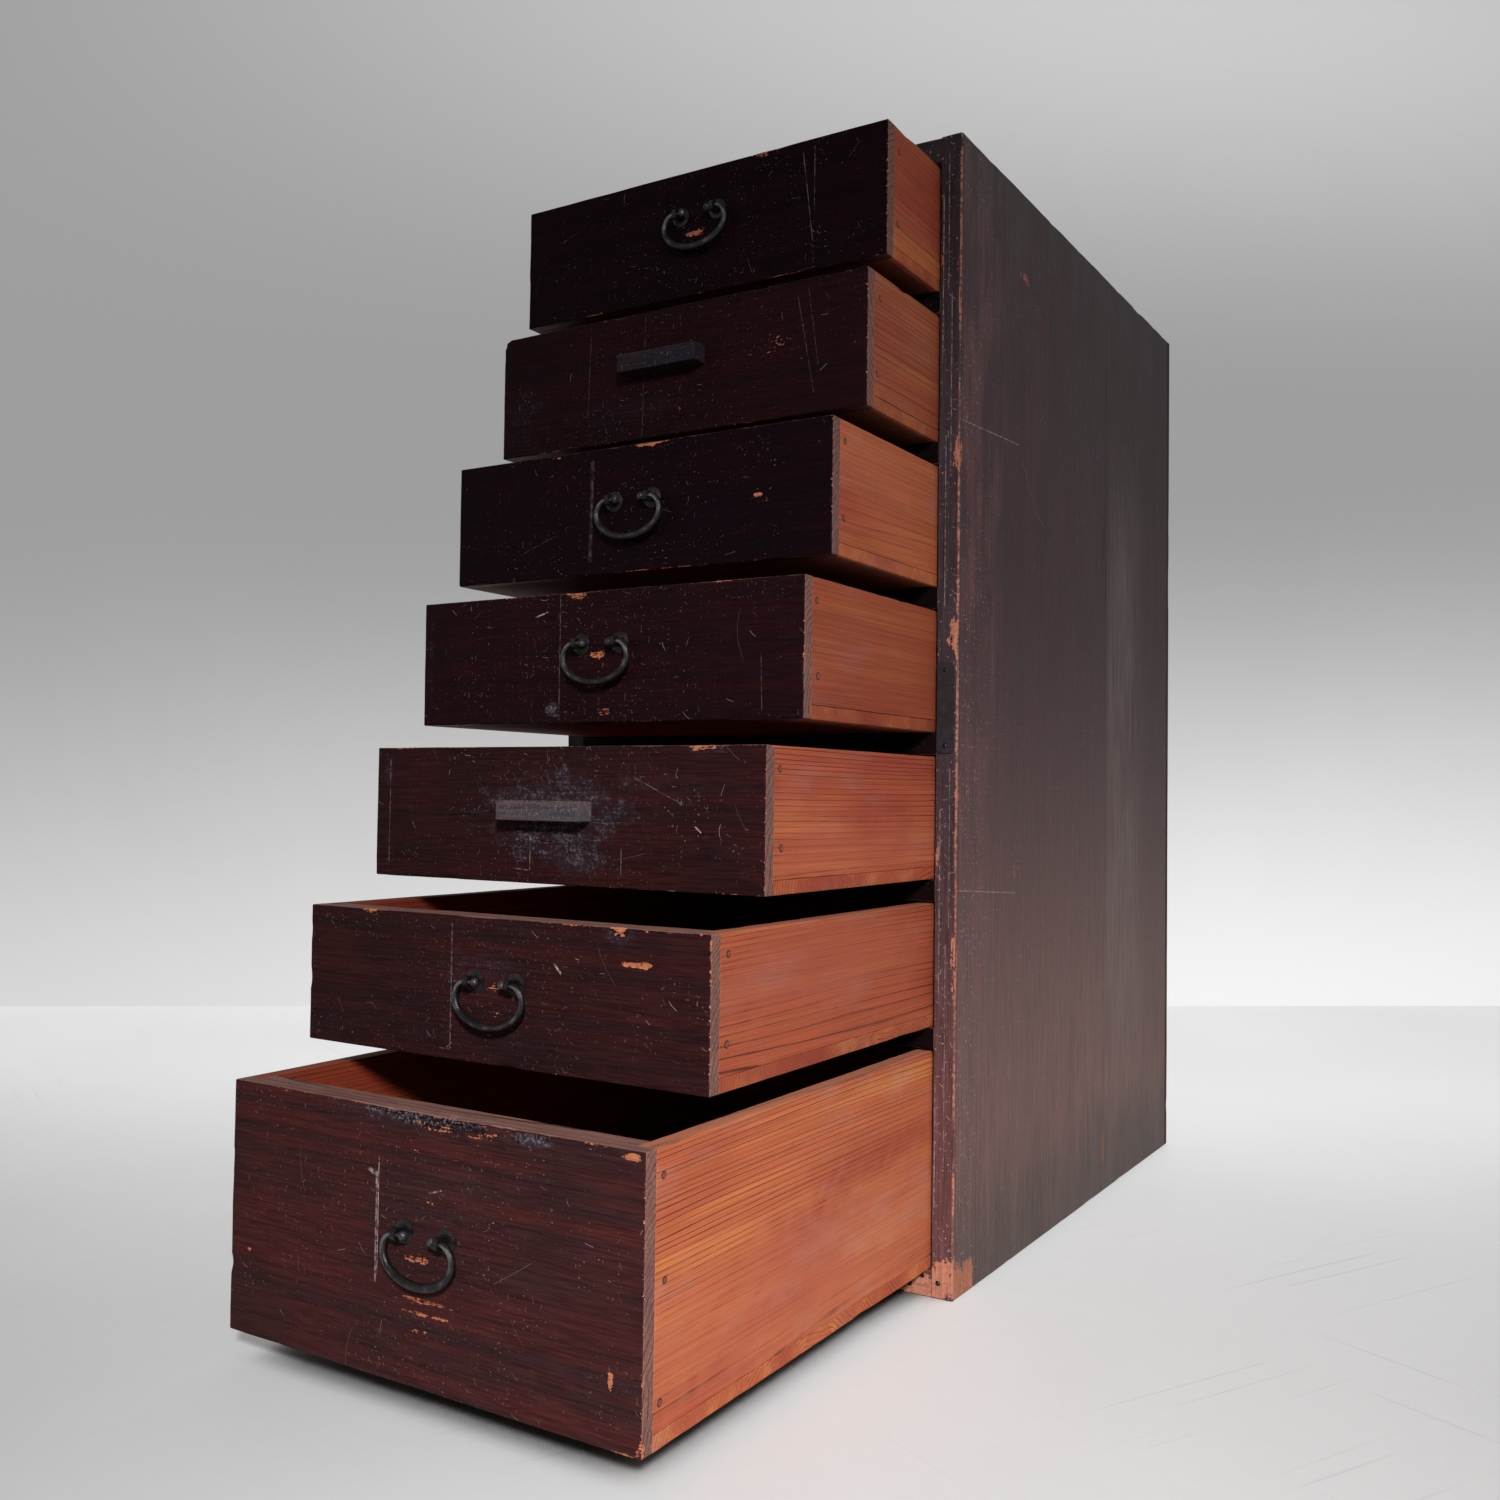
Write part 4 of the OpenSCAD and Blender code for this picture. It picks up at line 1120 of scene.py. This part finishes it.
# Places on the right sides where the grain lines fade: distance from the front end and height above
# the lower edge, half length, half height and strength, in millimetres; and how deep they reach
SMOOTH_REACH = 20 * MM
SMOOTH_PLACES = {
    3: [(60, 55, 60, 30, 0.6)], 5: [(120, 14, 150, 22, 0.7)], 6: [(110, 48, 150, 28, 0.9)],
    7: [(230, 34, 290, 50, 1.0), (420, 80, 120, 50, 0.8)],
}


class CABINET_OT_boxes(bpy.types.Operator):
    """Cedar sides, backs and bottoms of the drawers"""
    bl_idname = "cabinet.boxes"
    bl_label = "Drawer Boxes"

    def execute(self, context):
        wood, edges = context.scene.cabinet_wood, context.scene.cabinet_edges
        for number in DRAWERS:
            body = f"drawer_{number}"
            cedar = cedar_wood(f"{body}_cedar", wood, *CEDAR_TONES_AND_SHADE[number])
            # A darker copy of the cedar: painted shade for the left sides and the back
            shaded = cedar_wood(f"{body}_shade_painted_cedar", wood, tuple(
                c * gain for c, gain in zip(CEDAR_TONES_AND_SHADE[number][0], SHADED_CEDAR)))
            rear = corners(f"{body}_back")
            for count, side in enumerate(("left", "right")):
                node = f"{body}_side_{side}"
                right = side == "right"
                low, high = corners(node)
                smooth = [("finish", (high[0], low[1] + y * MM, low[2] + z * MM),
                           (SMOOTH_REACH, half_y * MM, half_z * MM), 0.0, strength)
                          for y, z, half_y, half_z, strength in SMOOTH_PLACES.get(number, ())]
                part_of = board(
                    (low, high), GRID["side"], edges.box_round, edges, SEED["side"] + 10 * number + count,
                    ("yzx", SIDE_TREES[number - 1], -40 if right else 40), [rear],
                    {"y0": 0.25, "z0": 0.3}, smooth if right else (), {}, {"z1": 0.55, "y1": 0.3})
                make_piece(f"{node}_wood", [part_of], cedar if right else shaded,
                           body, [node])
            part_of = board(
                rear, GRID["back"], edges.box_round, edges, SEED["back"] + 10 * number, ("xzy", 20, 50),
                (), {"x0": 0.2, "x1": 0.2, "z0": 0.2}, (), {}, {"z1": 0.7})
            make_piece(f"{body}_back_wood", [part_of], shaded, body, [f"{body}_back"])
            half = corners(f"{body}_bottom")[1][0]
            shaded_floor_cedar = cedar_wood(
                f"{body}_shaded_floor_cedar", wood, *CEDAR_TONES_AND_SHADE[number], half, BOTTOM_PAINTED_SHADES[number - 1])
            part_of = board(
                corners(f"{body}_bottom"), GRID["bottom"], edges.box_round * 0.8, edges,
                SEED["bottom"] + 10 * number, ("xyz", 120 - 30 * number, -70), (),
                {"y0": 0.25, "z1": 0.3}, (), {}, {"z0": 0.25})
            make_piece(f"{body}_bottom_wood", [part_of], shaded_floor_cedar,
                       body, [f"{body}_bottom"])
        return {"FINISHED"}


# Pegs and nails by Geometry Nodes

# How high the pegs stand above the lower edge of a drawer's front, and how far behind the front end
# and in front of the back end of its sides, in millimetres
PEG_HEIGHTS = {number: (24, 80, 134) if number == 7 else (25, 72) for number in DRAWERS}
PEG_FRONT, PEG_REAR = 7, 5
# How far a peg strays from its place, and how far it is sunk into a side and a bottom board
PEG_DRIFT, SIDE_SUNK, BOTTOM_SUNK = 1.5 * MM, 0.12 * MM, 0.5 * MM
# Pegs along each edge of a bottom board
BOTTOM_PEGS = 5


def dome_tree():
    """A node tree that puts a slightly uneven dome on every point, facing as the point says"""
    tree = bpy.data.node_groups.new("domes_on_points", "GeometryNodeTree")
    inputs = {"Geometry": "Geometry", "Radius": "Float", "Rise": "Float", "Unevenness": "Float",
              "Seed": "Int", "Material": "Material"}
    for name, kind in inputs.items():
        tree.interface.new_socket(name, in_out="INPUT", socket_type="NodeSocket" + kind)
    tree.interface.new_socket("Geometry", in_out="OUTPUT", socket_type="NodeSocketGeometry")
    make = Nodes(tree).node
    given = {name: make("NodeGroupInput", out=name) for name in inputs}
    ball_mesh = make("GeometryNodeMeshUVSphere", None, {"Segments": 14, "Rings": 8, "Radius": 1.0}, "Mesh")
    height = make("ShaderNodeSeparateXYZ", None, {0: make("GeometryNodeInputPosition")}, "Z")
    ball_mesh = make("GeometryNodeStoreNamedAttribute", {"data_type": "FLOAT", "domain": "POINT"}, {
        "Geometry": ball_mesh, "Name": "centre", "Value": height})
    size = make("ShaderNodeCombineXYZ", None, {
        "X": given["Radius"], "Y": given["Radius"], "Z": given["Rise"]})
    dome = make("GeometryNodeTransform", None, {"Geometry": ball_mesh, "Scale": size})
    facing = make("GeometryNodeInputNamedAttribute", {"data_type": "FLOAT_VECTOR"}, {"Name": "facing"})
    turn = make("FunctionNodeAlignRotationToVector", {"axis": "Z"}, {"Vector": facing})
    scale = make("FunctionNodeRandomValue", {"data_type": "FLOAT"}, {
        "Min": 1.0 - given["Unevenness"], "Max": 1.0, "Seed": given["Seed"]}, "Value")
    spread = make("GeometryNodeInstanceOnPoints", None, {
        "Points": given["Geometry"], "Instance": dome, "Rotation": turn, "Scale": scale})
    real = make("GeometryNodeRealizeInstances", None, {0: spread})
    smooth = make("GeometryNodeSetShadeSmooth", None, {"Geometry": real})
    coloured = make("GeometryNodeSetMaterial", None, {
        "Geometry": smooth, "Material": given["Material"]})
    make("NodeGroupOutput", None, {0: coloured})
    return tree


def domes(name, tree, spots, facings, radius, rise, uneven, material, body, nodes=()):
    """Makes the domes on the given spots and turns them into a plain mesh"""
    seed = bpy.context.scene.cabinet_iron.seed
    mesh = bpy.data.meshes.new(name)
    mesh.from_pydata([tuple(s) for s in spots], [], [])
    mesh.attributes.new("facing", "FLOAT_VECTOR", "POINT").data.foreach_set(
        "vector", np.array(facings, np.float32).ravel())
    source = bpy.data.objects.new(name + "_spots", mesh)
    bpy.context.scene.collection.objects.link(source)
    modifier = source.modifiers.new("domes", "NODES")
    modifier.node_group = tree
    given = {"Radius": radius, "Rise": rise, "Unevenness": uneven, "Seed": seed, "Material": material}
    for item in tree.interface.items_tree:
        if item.in_out == "INPUT" and item.name in given:
            modifier[item.identifier] = given[item.name]
    graph = bpy.context.evaluated_depsgraph_get()
    graph.update()
    made = bpy.data.meshes.new_from_object(source.evaluated_get(graph), depsgraph=graph)
    source.modifiers.clear()
    bpy.data.objects.remove(source)
    made.name = name
    place_piece(name, made, material, body, nodes)


class CABINET_OT_pegs(bpy.types.Operator):
    """Wooden pegs of the drawers and nail heads of the case"""
    bl_idname = "cabinet.pegs"
    bl_label = "Pegs and Nails"

    def execute(self, context):
        wood, iron = context.scene.cabinet_wood, context.scene.cabinet_iron
        tree = dome_tree()
        end_grain = old_peg("peg_end_grain", wood)
        for number in DRAWERS:
            spots, facings = [], []
            body = f"drawer_{number}"
            for side, sign in (("left", -1), ("right", 1)):
                low, high = corners(f"{body}_side_{side}")
                x = high[0] if sign > 0 else low[0]
                for count, height in enumerate(PEG_HEIGHTS[number]):
                    drift = PEG_DRIFT * math.sin(5.1 * number + 2.3 * count + sign)
                    up = drawer_plane(number)[1] + height * MM + drift
                    for y in (low[1] + PEG_FRONT * MM + drift, high[1] - PEG_REAR * MM + drift * 0.6):
                        spots.append((x - sign * SIDE_SUNK, y, up))
                        facings.append((sign, 0, 0))
            low, high = corners(f"{body}_bottom")
            for sign in (-1, 1):
                for y in np.linspace(low[1] + 34 * MM, high[1] - 30 * MM, BOTTOM_PEGS):
                    spots.append((sign * (high[0] - 6 * MM), y, low[2] + BOTTOM_SUNK))
                    facings.append((0, 0, -1))
            domes(f"{body}_pegs", tree, spots, facings, iron.peg / 2, iron.peg_rise, 0.12,
                  end_grain, body)
        metal = forged("nail_iron", iron, iron.dark, 0.6, 0.2)
        heads, facings = [], []
        for nail in islands("case_nails"):
            low, high = box_of(nail)
            front = low[1] < 0
            y = low[1] + iron.nail_rise if front else high[1] - iron.nail_rise
            heads.append(((low[0] + high[0]) / 2, y, (low[2] + high[2]) / 2))
            facings.append((0, -1 if front else 1, 0))
        domes("case_nail_heads", tree, heads, facings, iron.nail / 2, iron.nail_rise, 0.1,
              metal, "case", ["case_nails"])
        return {"FINISHED"}


# Forged handles

# Faces round a bail and round a knob, rings of a knob, and steps along a shoulder and the grip
BAIL_SIDES, KNOB_SIDES, KNOB_RINGS = 16, 12, 8
SHOULDER_STEPS, GRIP_STEPS = 10, 44


def tube_quads(rings, sides):
    """Outward quads round a closed tube of rings, and over both of its ends"""
    quads = []
    for ring in range(rings - 1):
        for k in range(sides):
            a, b = ring * sides + k, ring * sides + (k + 1) % sides
            quads.append((a, a + sides, b + sides, b))
    last = (rings - 1) * sides
    for k in range(sides // 2 - 1):
        quads.append((k + 1, sides - 2 - k, sides - 1 - k, k))
        quads.append((last + k, last + sides - 1 - k, last + sides - 2 - k, last + k + 1))
    return np.array(quads)


def swept(centres, tangents, radii):
    """A closed round bar along places in the XZ plane, as points and quads"""
    turns = np.arange(BAIL_SIDES) * 2 * math.pi / BAIL_SIDES + math.pi / BAIL_SIDES
    points = []
    for centre, tangent, radius in zip(centres, tangents, radii):
        across = np.array([-tangent[1], tangent[0]])
        for turn in turns:
            x, z = centre[:2] + across * radius * math.cos(turn)
            points.append((x, centre[2] + radius * math.sin(turn), z))
    return np.array(points), tube_quads(len(centres), BAIL_SIDES)


def knob(radius, centre):
    """A knob with its poles left and right, as points and quads"""
    turns = np.arange(KNOB_SIDES) * 2 * math.pi / KNOB_SIDES
    points = []
    for step in range(1, KNOB_RINGS):
        a = math.pi * step / KNOB_RINGS
        for turn in turns:
            points.append((-math.cos(a), math.sin(a) * math.cos(turn), math.sin(a) * math.sin(turn)))
    quads = np.roll(tube_quads(KNOB_RINGS - 1, KNOB_SIDES)[:, ::-1], 1, axis=1)
    return np.array(points) * radius + np.array(centre), quads


def bail_path(iron):
    """Places, directions and thicknesses along a bail, from its right eye to its left one"""
    start = iron.eye_gap / 2 + iron.strip / 2 + iron.play
    low = iron.bail_drop - iron.grip / 2

    def radius(z):
        return (iron.end + (iron.grip - iron.end) * (max(-z, 0.0) / low) ** 1.5) / 2

    side = iron.bail_width / 2 - radius(-iron.shoulder)
    knob_x = iron.eye_gap / 2 - iron.strip / 2 - iron.play - iron.knob / 2
    right = [(knob_x + iron.knob * 0.2, 0.0, iron.pivot / 2), (start - 0.3 * MM, 0.0, iron.pivot / 2)]
    for i in range(SHOULDER_STEPS + 1):
        a = math.radians(90 - 90 / SHOULDER_STEPS * i)
        z = iron.shoulder * (math.sin(a) - 1)
        right.append((start + (side - start) * math.cos(a), z, radius(z)))
    grip = []
    for i in range(1, GRIP_STEPS):
        a = math.pi * i / GRIP_STEPS
        z = -iron.shoulder - (low - iron.shoulder) * math.sin(a)
        grip.append((side * math.cos(a), z, radius(z)))
    places = right + grip + [(-x, z, r) for x, z, r in reversed(right)]
    centres = np.array([(x, z, 0.0) for x, z, _ in places])
    ways = np.gradient(centres[:, :2], axis=0)
    ways[0] = ways[1] = (1.0, 0.0)
    ways[-1] = ways[-2] = (1.0, 0.0)
    ways /= np.linalg.norm(ways, axis=1)[:, None]
    return centres, ways, np.array([r for _, _, r in places]), knob_x


class CABINET_OT_bails(bpy.types.Operator):
    """Forged bail handles that swing in their eyes"""
    bl_idname = "cabinet.bails"
    bl_label = "Bail Handles"

    def execute(self, context):
        iron = context.scene.cabinet_iron
        metal = forged("forged_iron", iron, iron.dark)
        centres, ways, radii, knob_x = bail_path(iron)
        for number in BAILS:
            low, high = corners(f"drawer_{number}_eye_pins")
            plane = drawer_plane(number)[0]
            middle = np.array([(low[0] + high[0]) / 2, plane - iron.eye_out, (low[2] + high[2]) / 2])
            hammered = radii * (0.96 + 0.04 * bumps(centres + number, 0.006, number))
            points, quads = swept(centres, ways, hammered)
            facets = 1 - 0.05 * np.clip(bumps(points + number, 0.0035, number), 0, 1)
            spine = np.repeat(centres, len(points) // len(centres), axis=0)[:, [0, 2, 1]]
            points = spine + (points - spine) * facets[:, None]
            depth = np.clip(-points[:, 2] / iron.bail_drop, 0, 1)
            # Painted highlight: faces turned to the front count as rubbed, less so towards the grip
            facing = (spine - points)[:, 1] / np.linalg.norm(points - spine, axis=1)
            rubbed_and_highlit = 0.1 + 0.7 * np.clip(facing * 2.2 - 1.3, 0, 1) * (1.0 - 0.5 * depth)
            parts = [{"points": points + middle, "quads": quads, "worn": rubbed_and_highlit}]
            for sign in (-1, 1):
                points, quads = knob(iron.knob / 2, middle + (sign * knob_x, 0, 0))
                parts.append({"points": points, "quads": quads, "worn": np.full(len(points), 0.5)})
            make_piece(f"drawer_{number}_bail_forged", parts, metal, f"bail_{number}",
                       [f"drawer_{number}_bail"], FORGED_CREASE)
        return {"FINISHED"}


# Colour of each bar pull and the dust on its front, then the rounding and the wear of its edges
BARS = {2: (tint(40, 36, 40), 0.2), 5: (tint(98, 86, 86), 0.6)}
BAR_ROUND, BAR_WEAR = 1.0 * MM, 0.4


class CABINET_OT_fittings(bpy.types.Operator):
    """Iron finish of the eye pins and the plate, and the wooden bar pulls"""
    bl_idname = "cabinet.fittings"
    bl_label = "Fittings and Bar Pulls"

    def execute(self, context):
        wood, edges = context.scene.cabinet_wood, context.scene.cabinet_edges
        iron = context.scene.cabinet_iron
        metal = forged("fitting_iron", iron, iron.dark, 0.8, 0.25)
        plate = forged("plate_iron", iron, iron.plate, 0.6, 0.22)
        for node in [f"drawer_{n}_eye_pins" for n in BAILS] + ["iron_plate"]:
            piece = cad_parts[node]
            piece.data.materials.clear()
            piece.data.materials.append(plate if node == "iron_plate" else metal)
        for number, (coat, dust) in BARS.items():
            node = f"drawer_{number}_bar_pull"
            greyed = lacquered(f"bar_wood_{number}", wood, coat, wood.ring * 2, gloss=0.5)
            plane = drawer_plane(number)[0]
            low, high = corners(node)
            high[1] = plane
            part_of = board(
                (low, high), GRID["bar"], BAR_ROUND, edges, SEED["bar"] + number, ("xzy", 18, 30), (),
                {"y1": 0.0}, (), {side: 1.0 for side in SIDES},
                {"z1": 1.0, "y0": dust, "x1": 0.3})
            part_of["worn"] *= BAR_WEAR
            make_piece(f"{node}_wood", [part_of], greyed, f"drawer_{number}", [node])
        return {"FINISHED"}


# Stage

# Place of the camera, its turn, pitch and roll in degrees, and the width of its sensor
CAMERA_PLACE = Vector((0.5532, -1.1488, 0.3399))
CAMERA_TURN = (-31.80, 1.815, 0.764)
SENSOR = 36.0
# The row of the picture on which the wall meets the floor, how far the wall goes on past both ends
# of that row, its height, and half the width of the floor
WALL_LINE = 1006.0
WALL_PAST, WALL_HEIGHT, FLOOR_HALF = 6.0, 5.0, 9.0
# Place, aim, size and spread of the key light
KEY_PLACE = Vector((1.45, -2.23, 1.37))
KEY_AIM = Vector((0.12, -0.33, -0.16))
KEY_SIZE, KEY_SPREAD = 0.34, math.radians(47)
# Where the light from behind comes from, and how wide it is
BACK_WAY = Vector((-0.6, 1.0, 1.3))
BACK_SPREAD = math.radians(50)
# How far the contact shadow on the floor reaches
NEAR_FLOOR = 0.07


def camera_axes():
    """Forward, right and up of the camera from its turn, pitch and roll"""
    yaw, pitch, roll = (math.radians(a) for a in CAMERA_TURN)
    forward = Vector((math.sin(yaw) * math.cos(pitch), math.cos(yaw) * math.cos(pitch), math.sin(pitch)))
    right = Vector((math.cos(yaw), -math.sin(yaw), 0.0))
    up = right.cross(forward)
    return (forward, right * math.cos(roll) + up * math.sin(roll),
            -right * math.sin(roll) + up * math.cos(roll))


def floor_under(u, v, lens):
    """The place on the floor that shows at a place of the picture"""
    forward, right, up = camera_axes()
    focus = lens / SENSOR * PHOTO_SIDE
    ray = forward + right * ((u - PHOTO_SIDE / 2) / focus) + up * ((PHOTO_SIDE / 2 - v) / focus)
    return CAMERA_PLACE - ray * (CAMERA_PLACE.z / ray.z)


def sheet(name, corners_of, material):
    """One flat sheet of the stage"""
    mesh = bpy.data.meshes.new(name)
    mesh.from_pydata([tuple(c) for c in corners_of], [], [tuple(range(len(corners_of)))])
    mesh.materials.append(material)
    thing = bpy.data.objects.new(name, mesh)
    bpy.context.scene.collection.objects.link(thing)
    return thing


def seen_ray(paint):
    """1 for what the camera, a reflection or glass sees"""
    rays = [paint.node("ShaderNodeLightPath", out=n)
            for n in ("Is Camera Ray", "Is Glossy Ray", "Is Transmission Ray")]
    return rays[0].most(rays[1]).most(rays[2])


class CABINET_OT_stage(bpy.types.Operator):
    """Pale floor, wall, soft light and the camera"""
    bl_idname = "cabinet.stage"
    bl_label = "Stage"

    def execute(self, context):
        scene, stage = context.scene, context.scene.cabinet_stage
        scene.view_settings.view_transform = "Standard"
        forward, right, up = camera_axes()
        lens = bpy.data.cameras.new("photo_camera")
        lens.lens, lens.sensor_width = stage.lens, SENSOR
        camera = bpy.data.objects.new("photo_camera", lens)
        turn = Matrix((right, up, -forward)).transposed().to_4x4()
        camera.matrix_world = Matrix.Translation(CAMERA_PLACE) @ turn
        scene.collection.objects.link(camera)
        scene.camera = camera

        ends = [floor_under(u, WALL_LINE, stage.lens) for u in (0, PHOTO_SIDE)]
        run = (ends[1] - ends[0]).normalized()
        left, right_end = ends[0] - run * WALL_PAST, ends[1] + run * WALL_PAST
        rise = Vector((0, 0, WALL_HEIGHT))
        wall = sheet("wall", (left, right_end, right_end + rise, left + rise), self.wall(stage, ends))
        wall.visible_shadow = False
        spots = [Vector((x, y, 0)) * FLOOR_HALF for x, y in ((-1, -1), (1, -1), (1, 1), (-1, 1))]
        sheet("floor", spots, self.floor(stage))

        key = self.lamp("key_light", "AREA", stage.key, KEY_PLACE, KEY_PLACE - KEY_AIM)
        key.shape, key.size, key.spread = "DISK", KEY_SIZE, KEY_SPREAD
        self.lamp("back_light", "SUN", stage.fill, BACK_WAY * 2, BACK_WAY).angle = BACK_SPREAD
        world = bpy.data.worlds.new("studio")
        scene.world = world
        paint = Paint("studio", world)
        way = paint.node("ShaderNodeTexCoord", out="Generated")
        lean = paint.vector("DOT_PRODUCT", way, (0.72, 0.28, 0.63), "Value")
        glow = paint.ramp(lean, -0.35, 0.75) * 0.92 + 0.08
        dusk = 0.86 - paint.ramp(paint.axis(way, "Z"), 0.08, 0.5) * 0.62
        seen = seen_ray(paint)
        light = seen * dusk + (1.0 - seen) * glow * stage.sky
        paint.surface(paint.node("ShaderNodeBackground", None, {
            "Color": paint.grey(light), "Strength": 1.0}), "ShaderNodeOutputWorld")
        return {"FINISHED"}

    def lamp(self, name, kind, strength, place, towards):
        """A lamp at a place, with the direction that its light comes from"""
        light = bpy.data.lights.new(name, kind)
        light.energy = strength
        thing = bpy.data.objects.new(name, light)
        thing.location = place
        thing.rotation_mode = "QUATERNION"
        thing.rotation_quaternion = towards.to_track_quat("Z", "Y")
        bpy.context.scene.collection.objects.link(thing)
        return light

    def wall(self, stage, ends):
        """Pale plaster that is seen from its front only; for the camera it glows with painted light,
        brighter towards the floor
        """
        paint = Paint("wall_plaster")
        place = paint.place()
        up = paint.axis(place, "Z")
        run = ends[1] - ends[0]
        side = paint.vector("DOT_PRODUCT", paint.vector("SUBTRACT", place, tuple(ends[0])),
                            tuple(run / run.length_squared), "Value")
        cloud = paint.noise(place, 1.7, 3.0)
        # Painted light: the glow is brighter towards the floor, right of the middle and in a crown above it
        light = paint.fall(up + (side - 0.5) * -0.12 + (cloud - 0.5) * 0.12, -0.1, 0.85)
        centre = paint.fall(abs(side - 0.75), 0.0, 0.95)
        crown = paint.ramp(up, 1.0, 1.7) * centre * 0.45
        tone = paint.mix((light * (centre * 0.4 + 0.6)).most(crown), stage.wall_high, stage.wall_low)
        glow = paint.node("ShaderNodeEmission", None, {"Color": tone, "Strength": 1.0})
        dull = paint.node("ShaderNodeBsdfDiffuse", None, {"Color": (0.5, 0.5, 0.5, 1.0)})
        front = paint.node("ShaderNodeMixShader", None, {0: seen_ray(paint), 1: dull, 2: glow})
        clear = paint.node("ShaderNodeBsdfTransparent")
        behind = paint.node("ShaderNodeNewGeometry", out="Backfacing")
        return paint.surface(paint.node("ShaderNodeMixShader", None, {0: behind, 1: front, 2: clear}))

    def floor(self, stage):
        """Pale floor paint with faint scratches, which keeps a light shadow of the object; for the camera
        it glows with a painted pool of light and a painted contact shadow near the object
        """
        paint = Paint("floor_paint")
        place = paint.place()
        cloud = paint.noise(place, 1.5, 3.0)
        grime = paint.noise(place, 60.0, 4.0, 0.7)
        marks = floor_scratches(paint, place)
        tone = paint.shade((*stage.floor, 1.0), cloud * 0.22 + grime * 0.05 + 0.88)
        tone = paint.mix(marks * 0.16, tone, (0.25, 0.25, 0.25, 1.0))
        # Painted contact shadow: ambient occlusion darkens the floor's colour close to the object
        near = paint.node("ShaderNodeAmbientOcclusion", {"samples": 12}, {"Distance": NEAR_FLOOR}, "AO")
        open_floor = paint.ramp(near, 0.08, 0.3)
        dull = paint.node("ShaderNodeBsdfPrincipled", None, {
            "Base Color": paint.shade(tone, (seen_ray(paint) * 0.6 + 0.4) * open_floor),
            "Roughness": 0.55})
        # Painted light: the glow is brighter towards the back and left, and darker close to the object
        lean = paint.vector("DOT_PRODUCT", place, (-0.5, 1.0, 0.0), "Value")
        light = (paint.ramp(lean, -0.7, 0.5) * 1.45 + 0.52) * paint.ramp(near, 0.2, 0.55)
        glow = paint.node("ShaderNodeEmission", None, {"Color": paint.shade(tone, light), "Strength": 1.0})
        seen = seen_ray(paint) * 0.34
        return paint.surface(paint.node("ShaderNodeMixShader", None, {0: seen, 1: dull, 2: glow}))


def floor_scratches(paint, place):
    """Long faint scratches on the floor in two directions"""
    found = None
    for number, turn in enumerate((25, 118)):
        spin = paint.node("ShaderNodeVectorRotate", {"rotation_type": "Z_AXIS"}, {
            "Vector": place, "Angle": math.radians(turn)})
        line = paint.patches(0.7, 0.73, spin, (3.0, 160.0 + 60 * number, 3.0), 1.0)
        here = paint.patches(0.5, 0.62, place, 2.5 + number, 1.0)
        found = line * here if found is None else found.most(line * here)
    return found


# Add-on

class CABINET_PT_panel(bpy.types.Panel):
    """Settings and steps of the cabinet"""
    bl_idname = "CABINET_PT_panel"
    bl_label = "Drawer Cabinet"
    bl_space_type = "VIEW_3D"
    bl_region_type = "UI"
    bl_category = "Cabinet"

    def draw(self, context):
        for group in GROUPS:
            box = self.layout.box()
            box.label(text=GROUPS[group].__doc__)
            settings = getattr(context.scene, group)
            for name in GROUPS[group].__annotations__:
                box.prop(settings, name)
        for step in STEPS:
            self.layout.operator(step.bl_idname)


GROUPS = {
    "cabinet_wood": CabinetWood, "cabinet_edges": CabinetEdges,
    "cabinet_iron": CabinetIron, "cabinet_stage": CabinetStage,
}
STEPS = (
    CABINET_OT_stage, CABINET_OT_case, CABINET_OT_fronts, CABINET_OT_boxes,
    CABINET_OT_pegs, CABINET_OT_bails, CABINET_OT_fittings,
)


def register():
    for kind in (*GROUPS.values(), *STEPS, CABINET_PT_panel):
        bpy.utils.register_class(kind)
    for name, kind in GROUPS.items():
        setattr(bpy.types.Scene, name, PointerProperty(type=kind))


def unregister():
    for name in GROUPS:
        delattr(bpy.types.Scene, name)
    for kind in reversed((*GROUPS.values(), *STEPS, CABINET_PT_panel)):
        bpy.utils.unregister_class(kind)


def main():
    """Builds everything in order"""
    register()
    for step in STEPS:
        area, name = step.bl_idname.split(".")
        getattr(getattr(bpy.ops, area), name)()


if __name__ == "__main__":
    main()
